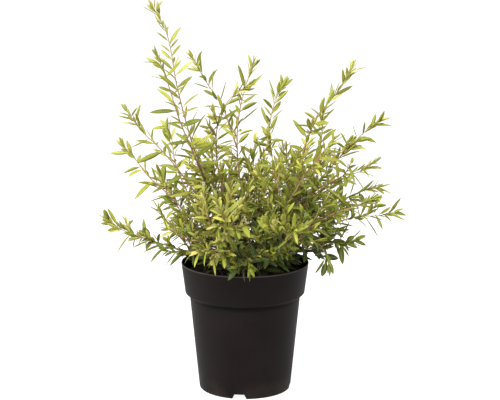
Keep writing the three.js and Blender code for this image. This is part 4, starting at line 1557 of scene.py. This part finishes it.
def cut(body, cutters):
    together = bmesh.new()
    for cutter in cutters:
        together.from_mesh(cutter)
        bpy.data.meshes.remove(cutter)
    whole = bpy.data.meshes.new("cutters")
    together.to_mesh(whole)
    together.free()
    knife = object_of("cutters", whole)
    modifier = body.modifiers.new("Cut", "BOOLEAN")
    modifier.operation = "DIFFERENCE"
    modifier.object = knife
    result = evaluated_mesh(body)
    body.modifiers.remove(modifier)
    body.data = result
    bpy.data.objects.remove(knife)


print("cuts in the pot:", DRAIN_HOLES + NOTCHES)

# %% [markdown]
# ## Black plastic
# The real pot is matt and nearly black, with a faint cloudiness. It has light scuffs round it, some dust
# low down, a painted highlight along its lip and a painted dark line of shade under its collar. Height on
# the pot tells where the dust, the shade and the highlight are, and a stretched noise gives the scuffs.

# %% Pot material
POT_BLACK = (0.0068, 0.0052, 0.0051, 1)
POT_SHADE = (0.0008, 0.0006, 0.0006, 1)
POT_WORN = (0.0106, 0.0082, 0.008, 1)
# The colour of a painted highlight along the top of the lip.
POT_LIP_HIGHLIGHT = (0.09, 0.072, 0.066, 1)
POT_DUST = (0.075, 0.062, 0.05, 1)
POT_SHINE = 0.075
POT_SHINE_TINT = (1, 0.84, 0.8, 1)
POT_ROUGHNESS = (0.5, 0.6)
POT_CLOUDS = (22.0, 5.0)
POT_GRAIN = (700.0, 2.0)
WORN_RANGE = (0.35, 0.7)
SCUFF_STRETCH = (60, 60, 900)
SCUFF_NOISE = (1.0, 4.0)
SCUFF_RANGE = (0.62, 0.72)
SCUFF_SHARE = 0.05
SCUFF_ROUGHER = 0.06
DUST_HEIGHTS = (0.02, 0.0)
DUST_CLOUDS = (0.4, 0.62, 0.0, 0.3)
SHADE_FOOT = (0.1, 0.104)
SHADE_TOP = (0.1064, 0.1058)
SHADE_SHARE = 0.92
LIP_HIGHLIGHT_HEIGHTS = (0.1409, 0.1416)
LIP_HIGHLIGHT_CLOUDS = (0.35, 0.6, 0.3, 0.8)
POT_CLOUD_RELIEF = 2.0
POT_BUMP = (0.12, 0.0002)


def pot_colour(tree, height, cloudy, scuffed):
    colour = mixed(tree, ranged(tree, cloudy, *WORN_RANGE), POT_BLACK, POT_WORN)
    dust = product(tree, ranged(tree, height, *DUST_HEIGHTS), ranged(tree, cloudy, *DUST_CLOUDS))
    colour = mixed(tree, dust, colour, POT_DUST)
    colour = mixed(tree, product(tree, scuffed, SCUFF_SHARE), colour, POT_DUST)
    # Painted shade: a dark band on the wall just under the collar.
    above, below = ranged(tree, height, *SHADE_FOOT), ranged(tree, height, *SHADE_TOP)
    colour = mixed(tree, product(tree, above, below, SHADE_SHARE), colour, POT_SHADE)
    # Painted highlight: a paler line along the top of the lip.
    lip_highlight = product(tree, ranged(tree, height, *LIP_HIGHLIGHT_HEIGHTS), ranged(tree, cloudy, *LIP_HIGHLIGHT_CLOUDS))
    return mixed(tree, lip_highlight, colour, POT_LIP_HIGHLIGHT)


def pot_finish():
    material, tree, shader = new_material("Black moulded plastic", Specular_IOR_Level=POT_SHINE,
        Specular_Tint=POT_SHINE_TINT)
    place = add(tree, "ShaderNodeTexCoord").outputs["Object"]
    height = add(tree, "ShaderNodeSeparateXYZ", {"Vector": place}).outputs["Z"]
    cloudy = noise_on(tree, *POT_CLOUDS)
    stretched = add(tree, "ShaderNodeMapping", {"Vector": place, "Scale": SCUFF_STRETCH}).outputs[0]
    scuffed = ranged(tree, noise_on(tree, *SCUFF_NOISE, stretched), *SCUFF_RANGE)
    colour = pot_colour(tree, height, cloudy, scuffed)
    rougher = product(tree, scuffed, SCUFF_ROUGHER)
    roughness = number(tree, "ADD", varied(tree, cloudy, POT_ROUGHNESS), rougher)
    clouds = product(tree, cloudy, POT_CLOUD_RELIEF)
    relief = number(tree, "ADD", noise_on(tree, *POT_GRAIN), clouds)
    finish_surface(tree, shader, colour, roughness, relief, *POT_BUMP)
    return material


pot_material = pot_finish()
print("dust reaches", DUST_HEIGHTS[0] / METRE, "mm up the pot")

# %% [markdown]
# ## Make the pot
# The outline is spun, the holes and notches are cut, and the mesh is cleaned and scaled to metres. Faces
# are smooth, and only edges sharper than an angle stay crisp, as on a moulding.

# %% Spin and cut the pot
POT_SPIN_SIDES = 160
SHARP_EDGE = math.radians(38)
MERGE_DISTANCE = 0.0005


def finish_mesh(piece, material):
    shape = bmesh.new()
    shape.from_mesh(piece.data)
    bmesh.ops.remove_doubles(shape, verts=shape.verts, dist=MERGE_DISTANCE)
    bmesh.ops.dissolve_degenerate(shape, edges=shape.edges, dist=MERGE_DISTANCE)
    bmesh.ops.scale(shape, verts=shape.verts, vec=(METRE, METRE, METRE))
    for face in shape.faces:
        face.smooth = True
    shape.to_mesh(piece.data)
    shape.free()
    piece.data.set_sharp_from_angle(angle=SHARP_EDGE)
    piece.data.materials.clear()
    piece.data.materials.append(material)


pot = object_of("nursery_pot", spun("nursery_pot", pot_profile, POT_SPIN_SIDES))
drain_holes = [drain_hole(index) for index in range(DRAIN_HOLES)]
foot_notches = [foot_notch(index) for index in range(NOTCHES)]
cut(pot, drain_holes + foot_notches)
finish_mesh(pot, pot_material)
dress(pot, "pot", "pot")
print("pot triangles:", triangles(pot))

# %% [markdown]
# ## Soil material
# Potting soil is dark brown peat, matt and lumpy, with pale fibres in it. A coarse noise gives the clods
# and a fine one the fibres. Both also drive the bump.

# %% Soil material
SOIL_DARK = (0.02, 0.0165, 0.0125, 1)
SOIL_BROWN = (0.048, 0.035, 0.025, 1)
SOIL_FIBRE = (0.075, 0.052, 0.032, 1)
SOIL_SHINE = 0.2
SOIL_ROUGHNESS = (0.8, 0.98)
CLOD_NOISE = (180.0, 6.0)
CLOD_RANGE = (0.35, 0.65)
FIBRE_NOISE = (650.0, 4.0)
FIBRE_RANGE = (0.58, 0.7)
FIBRE_SHARE = 0.6
FIBRE_RELIEF = 0.5
SOIL_BUMP = (0.9, 0.0015)


def soil_finish():
    material, tree, shader = new_material("Potting soil", Specular_IOR_Level=SOIL_SHINE)
    clods, fibres = noise_on(tree, *CLOD_NOISE), noise_on(tree, *FIBRE_NOISE)
    colour = mixed(tree, ranged(tree, clods, *CLOD_RANGE), SOIL_DARK, SOIL_BROWN)
    pale = product(tree, ranged(tree, fibres, *FIBRE_RANGE), FIBRE_SHARE)
    colour = mixed(tree, pale, colour, SOIL_FIBRE)
    relief = number(tree, "ADD", clods, product(tree, fibres, FIBRE_RELIEF))
    finish_surface(tree, shader, colour, varied(tree, clods, SOIL_ROUGHNESS), relief, *SOIL_BUMP)
    return material


soil_material = soil_finish()
print("soil is rougher than", SOIL_ROUGHNESS[0])

# %% [markdown]
# ## The soil
# Dark potting soil fills the pot to just under its rim. Its top is loose and uneven, so it is a fine net of
# rings, raised and lowered by the same waves as the solid and by a smaller noise. Its sides follow the
# inside of the wall.

# %% Make the soil
SOIL_SPIN_SIDES = 120
SOIL_TOP_RINGS = 30
SOIL_RIPPLE = 1.6
RIPPLE_WAVES = (0.21, 0.17)
SOIL_SWELL = 1
SWELL_WAVES = (0.07, 0.11)
SOIL_EDGE_DROP = 2
SOIL_TOP_MARGIN = 1
SOIL_GRAIN = 1.1
SOIL_GRAIN_SIZE = 6
SOIL_GRAIN_NOISE = (0.9, 2.1, 4)


def soil_height(x, y):
    reach = math.hypot(x, y) / RIM_RADIUS
    ripple = SOIL_RIPPLE * math.sin(x * RIPPLE_WAVES[0] + 1) * math.cos(y * RIPPLE_WAVES[1])
    swell = SOIL_SWELL * math.sin(x * SWELL_WAVES[0] - y * SWELL_WAVES[1])
    level = SOIL_LEVEL + (ripple + swell) * (1 - reach) - SOIL_EDGE_DROP * reach * reach
    return level + SOIL_GRAIN * noise.fractal(Vector((x, y, 0)) / SOIL_GRAIN_SIZE, *SOIL_GRAIN_NOISE)


def soil_outline():
    bottom = POT_WALL + GAP
    inside = pot_inside(GAP)
    collar_rise = POT_HEIGHT - RIM_LIP - inside[0][1]
    collar_slope = (RIM_RADIUS - POT_WALL - GAP - inside[0][0]) / collar_rise
    edge_level = SOIL_LEVEL - SOIL_EDGE_DROP
    edge = inside[0][0] + collar_slope * (edge_level - inside[0][1])
    outline = [(0, bottom), (MIDDLE_RADIUS - POT_WALL - GAP, bottom)]
    outline += [(MIDDLE_RADIUS + CHANNEL_SLOPE - POT_WALL - GAP, FLOOR_TOP + GAP), *reversed(inside)]
    return outline + [(edge * ring / SOIL_TOP_RINGS, edge_level) for ring in range(SOIL_TOP_RINGS, -1, -1)]


soil_mesh = spun("potting_soil", soil_outline(), SOIL_SPIN_SIDES)
for vertex in soil_mesh.vertices:
    if vertex.co.z > SOIL_LEVEL - SOIL_EDGE_DROP - SOIL_TOP_MARGIN:
        vertex.co.z = soil_height(vertex.co.x, vertex.co.y)
soil = object_of("potting_soil", soil_mesh)
finish_mesh(soil, soil_material)
dress(soil, "soil", "soil")
print("soil triangles:", triangles(soil))

# %% [markdown]
# ## Crumbs on the soil
# Bits of bark, peat and fibre lie loose on potting soil. They repeat, so a tree scatters them: points are
# spread over the top of the soil with a fixed seed, and each gets a lumpy, flattened crumb of its own size,
# turn and tone.

# %% The tree that scatters crumbs
CRUMB_SIZES = {
    "Crumbs on a square metre": ("NodeSocketFloat", 52000.0),
    "Smallest crumb": ("NodeSocketFloat", 0.0005),
    "Largest crumb": ("NodeSocketFloat", 0.0019),
    "Seed": ("NodeSocketInt", 11),
}
CRUMB_TOP = 0.12
CRUMB_DETAIL = 2
LUMP_SCALE = 1.1
LUMP_MIDDLE = (0.5, 0.5, 0.5)
LUMP_PUSH = 1.6
FULL_TURN = (6.28, 6.28, 6.28)
CRUMB_WIDTH_SHARE = 0.7
CRUMB_HEIGHT_SHARE = 0.5
TURN_SEED = 3
SIZE_SEED = 5
TONE_SEED = 7


def random_number(tree, low, high, seed):
    return add(tree, "FunctionNodeRandomValue", {2: low, 3: high, "Seed": seed}).outputs[1]


def lumpy_ball(tree):
    inputs = {"Radius": 1.0, "Subdivisions": CRUMB_DETAIL}
    ball = add(tree, "GeometryNodeMeshIcoSphere", inputs).outputs[0]
    lumps = add(tree, "ShaderNodeTexNoise", {"Scale": LUMP_SCALE}).outputs["Color"]
    push = add(tree, "ShaderNodeVectorMath", {0: lumps, 1: LUMP_MIDDLE}, operation="SUBTRACT").outputs[0]
    push = add(tree, "ShaderNodeVectorMath", {0: push, "Scale": LUMP_PUSH}, operation="SCALE").outputs[0]
    return add(tree, "GeometryNodeSetPosition", {"Geometry": ball, "Offset": push}).outputs[0]


def crumb_points(tree, sizes):
    place = add(tree, "GeometryNodeInputPosition").outputs[0]
    rise = add(tree, "ShaderNodeSeparateXYZ", {0: place}).outputs["Z"]
    inputs = {"Mesh": sizes["Plan"], "Selection": number(tree, "GREATER_THAN", rise, CRUMB_TOP),
        "Density": sizes["Crumbs on a square metre"], "Seed": sizes["Seed"]}
    return add(tree, "GeometryNodeDistributePointsOnFaces", inputs).outputs["Points"]


def crumb_scale(tree, sizes):
    size = random_number(tree, sizes["Smallest crumb"], sizes["Largest crumb"], SIZE_SEED)
    width, height = product(tree, size, CRUMB_WIDTH_SHARE), product(tree, size, CRUMB_HEIGHT_SHARE)
    return add(tree, "ShaderNodeCombineXYZ", {"X": size, "Y": width, "Z": height}).outputs[0]


def soil_crumb_tree():
    tree, sizes = new_tree("Soil crumbs", CRUMB_SIZES, ["Crumb"])
    inputs = {0: (0, 0, 0), 1: FULL_TURN, "Seed": TURN_SEED}
    turns = add(tree, "FunctionNodeRandomValue", inputs, data_type="FLOAT_VECTOR").outputs[0]
    inputs = {"Points": crumb_points(tree, sizes), "Instance": lumpy_ball(tree), "Rotation": turns,
        "Scale": crumb_scale(tree, sizes)}
    crumbs = add(tree, "GeometryNodeInstanceOnPoints", inputs).outputs[0]
    toned = store(tree, crumbs, "tone", random_number(tree, 0.0, 1.0, TONE_SEED), "INSTANCE")
    real = add(tree, "GeometryNodeRealizeInstances", {"Geometry": toned}).outputs[0]
    add(tree, "NodeGroupOutput", {"Result": set_material(tree, real, sizes["Crumb"])})
    return tree


crumb_tree = soil_crumb_tree()
print("nodes in the crumb tree:", len(crumb_tree.nodes))

# %% [markdown]
# ## Peat, bark and chips
# Many crumbs are dark peat, others are browner like bark, and a few are pale chips of wood. The tone that
# the tree gives each crumb sets where it lies between these, and a fine grain makes it look rough. The
# crumbs grow on a copy of the soil's mesh, so that they follow its lumps.

# %% Crumb material and the crumbs
CRUMB_DARK = (0.016, 0.013, 0.01, 1)
CRUMB_BARK = (0.06, 0.034, 0.02, 1)
CRUMB_PALE = (0.2, 0.15, 0.1, 1)
CRUMB_SHINE = 0.25
CRUMB_ROUGHNESS = (0.75, 0.95)
CRUMB_GRAIN = (900.0, 3.0)
CRUMB_SHADES = (0.6, 1.3)
BARK_TONES = (0.45, 0.9)
PALE_TONES = (0.95, 0.99)
CRUMB_BUMP = (0.5, 0.0003)


def crumb_finish():
    material, tree, shader = new_material("Peat and bark crumbs", Specular_IOR_Level=CRUMB_SHINE)
    tone, grain = on_mesh(tree, "tone"), noise_on(tree, *CRUMB_GRAIN)
    colour = mixed(tree, ranged(tree, tone, *BARK_TONES), CRUMB_DARK, CRUMB_BARK)
    colour = mixed(tree, ranged(tree, tone, *PALE_TONES), colour, CRUMB_PALE)
    colour = shaded(tree, colour, varied(tree, grain, CRUMB_SHADES))
    finish_surface(tree, shader, colour, varied(tree, grain, CRUMB_ROUGHNESS), grain, *CRUMB_BUMP)
    return material


crumbs = grown("soil_crumbs", soil.data.copy(), crumb_tree, {"Crumb": crumb_finish()})
dress(crumbs, "soil")
print("crumb triangles:", triangles(crumbs))

# %% [markdown]
# ## Floor
# The plant is shown as in a catalogue, on plain white. The floor glows, as a light table does, so that
# hardly any shadow shows. It glows a little less for the light that it throws on the plant than for the
# camera, because too much light from below would flatten the leaves. It is only as bright as white needs,
# because a brighter floor would eat into the edges of the thin leaves in front of it.

# %% Glowing floor
FLOOR_SIZE = 12
FLOOR_WHITE = (0.3, 0.3, 0.3, 1)
PURE_WHITE = (1, 1, 1, 1)
FLOOR_GLOW = 0.93
FLOOR_BOUNCE = 0.78


def floor_finish():
    material, tree, shader = new_material("White floor", Base_Color=FLOOR_WHITE, Roughness=1.0,
        Specular_IOR_Level=0.0, Emission_Color=PURE_WHITE)
    seen = add(tree, "ShaderNodeLightPath").outputs["Is Camera Ray"]
    glow = ranged(tree, seen, 0.0, 1.0, FLOOR_BOUNCE, FLOOR_GLOW)
    tree.links.new(glow, shader.inputs["Emission Strength"])
    return material


half = FLOOR_SIZE / 2
floor_corners = [(-half, -half, 0), (half, -half, 0), (half, half, 0), (-half, half, 0)]
floor_mesh = bpy.data.meshes.new("floor")
floor_mesh.from_pydata(floor_corners, [], [(0, 1, 2, 3)])
floor_mesh.materials.append(floor_finish())
floor = object_of("floor", floor_mesh)
print("floor:", FLOOR_SIZE, "metres wide")

# %% [markdown]
# ## Lights
# A studio lights such a plant with large soft boxes to both sides and above. What the camera sees past the
# floor is white too, but less light comes from there, and least of all in reflections, so that the black
# pot stays dark.

# %% Lights and world
AIM = Vector((0, 0, 0.22))
SOFTBOXES = {
    "left": ((-1.6, -0.7, 0.7), 1.2, 22),
    "right": ((1.7, -0.3, 0.7), 1.1, 7),
    "above": ((-0.25, -0.75, 1.85), 1.1, 53),
}
WORLD_LIGHT = 0.52
WORLD_SHINE = 0.12
SHINE_WARMTH = (1, 0.86, 0.8, 1)


def place_facing(holder, place):
    holder.location = place
    holder.rotation_euler = (AIM - Vector(place)).to_track_quat("-Z", "Y").to_euler()


for name, (place, size, power) in SOFTBOXES.items():
    lamp = bpy.data.lights.new("softbox_" + name, "AREA")
    lamp.size = size
    lamp.energy = power
    place_facing(object_of(lamp.name, lamp), place)

world = bpy.data.worlds.new("White room")
world.use_nodes = True
bpy.context.scene.world = world
tree = world.node_tree
background = tree.nodes["Background"]
rays = add(tree, "ShaderNodeLightPath").outputs
strength = ranged(tree, rays["Is Glossy Ray"], 0.0, 1.0, WORLD_LIGHT, WORLD_SHINE)
strength = number(tree, "MAXIMUM", strength, rays["Is Camera Ray"])
tree.links.new(strength, background.inputs["Strength"])
warmth = mixed(tree, rays["Is Glossy Ray"], PURE_WHITE, SHINE_WARMTH)
tree.links.new(warmth, background.inputs["Color"])
bpy.context.scene.view_settings.view_transform = "Standard"
print("softboxes:", ", ".join(SOFTBOXES))

# %% [markdown]
# ## The camera
# The rim, the collar and the foot of the pot gave the place of the camera: about 1.7 metres in front,
# looking down by eleven degrees, with a long lens. A small shift sets the plant in the frame as the
# photograph does.

# %% Set the camera
CAMERA_PLACE = (0, -1.711, 0.562)
CAMERA_LENS = 115.2
CAMERA_SENSOR = 36
CAMERA_SHIFT = (0.01, -0.0161)

camera_data = bpy.data.cameras.new("Camera")
camera_data.lens = CAMERA_LENS
camera_data.sensor_width = CAMERA_SENSOR
camera_data.shift_x, camera_data.shift_y = CAMERA_SHIFT
camera = object_of("Camera", camera_data)
place_facing(camera, CAMERA_PLACE)
bpy.context.scene.camera = camera
tilt = math.degrees(math.pi / 2 - camera.rotation_euler.x)
print("camera looks down by", round(tilt, 1), "degrees")
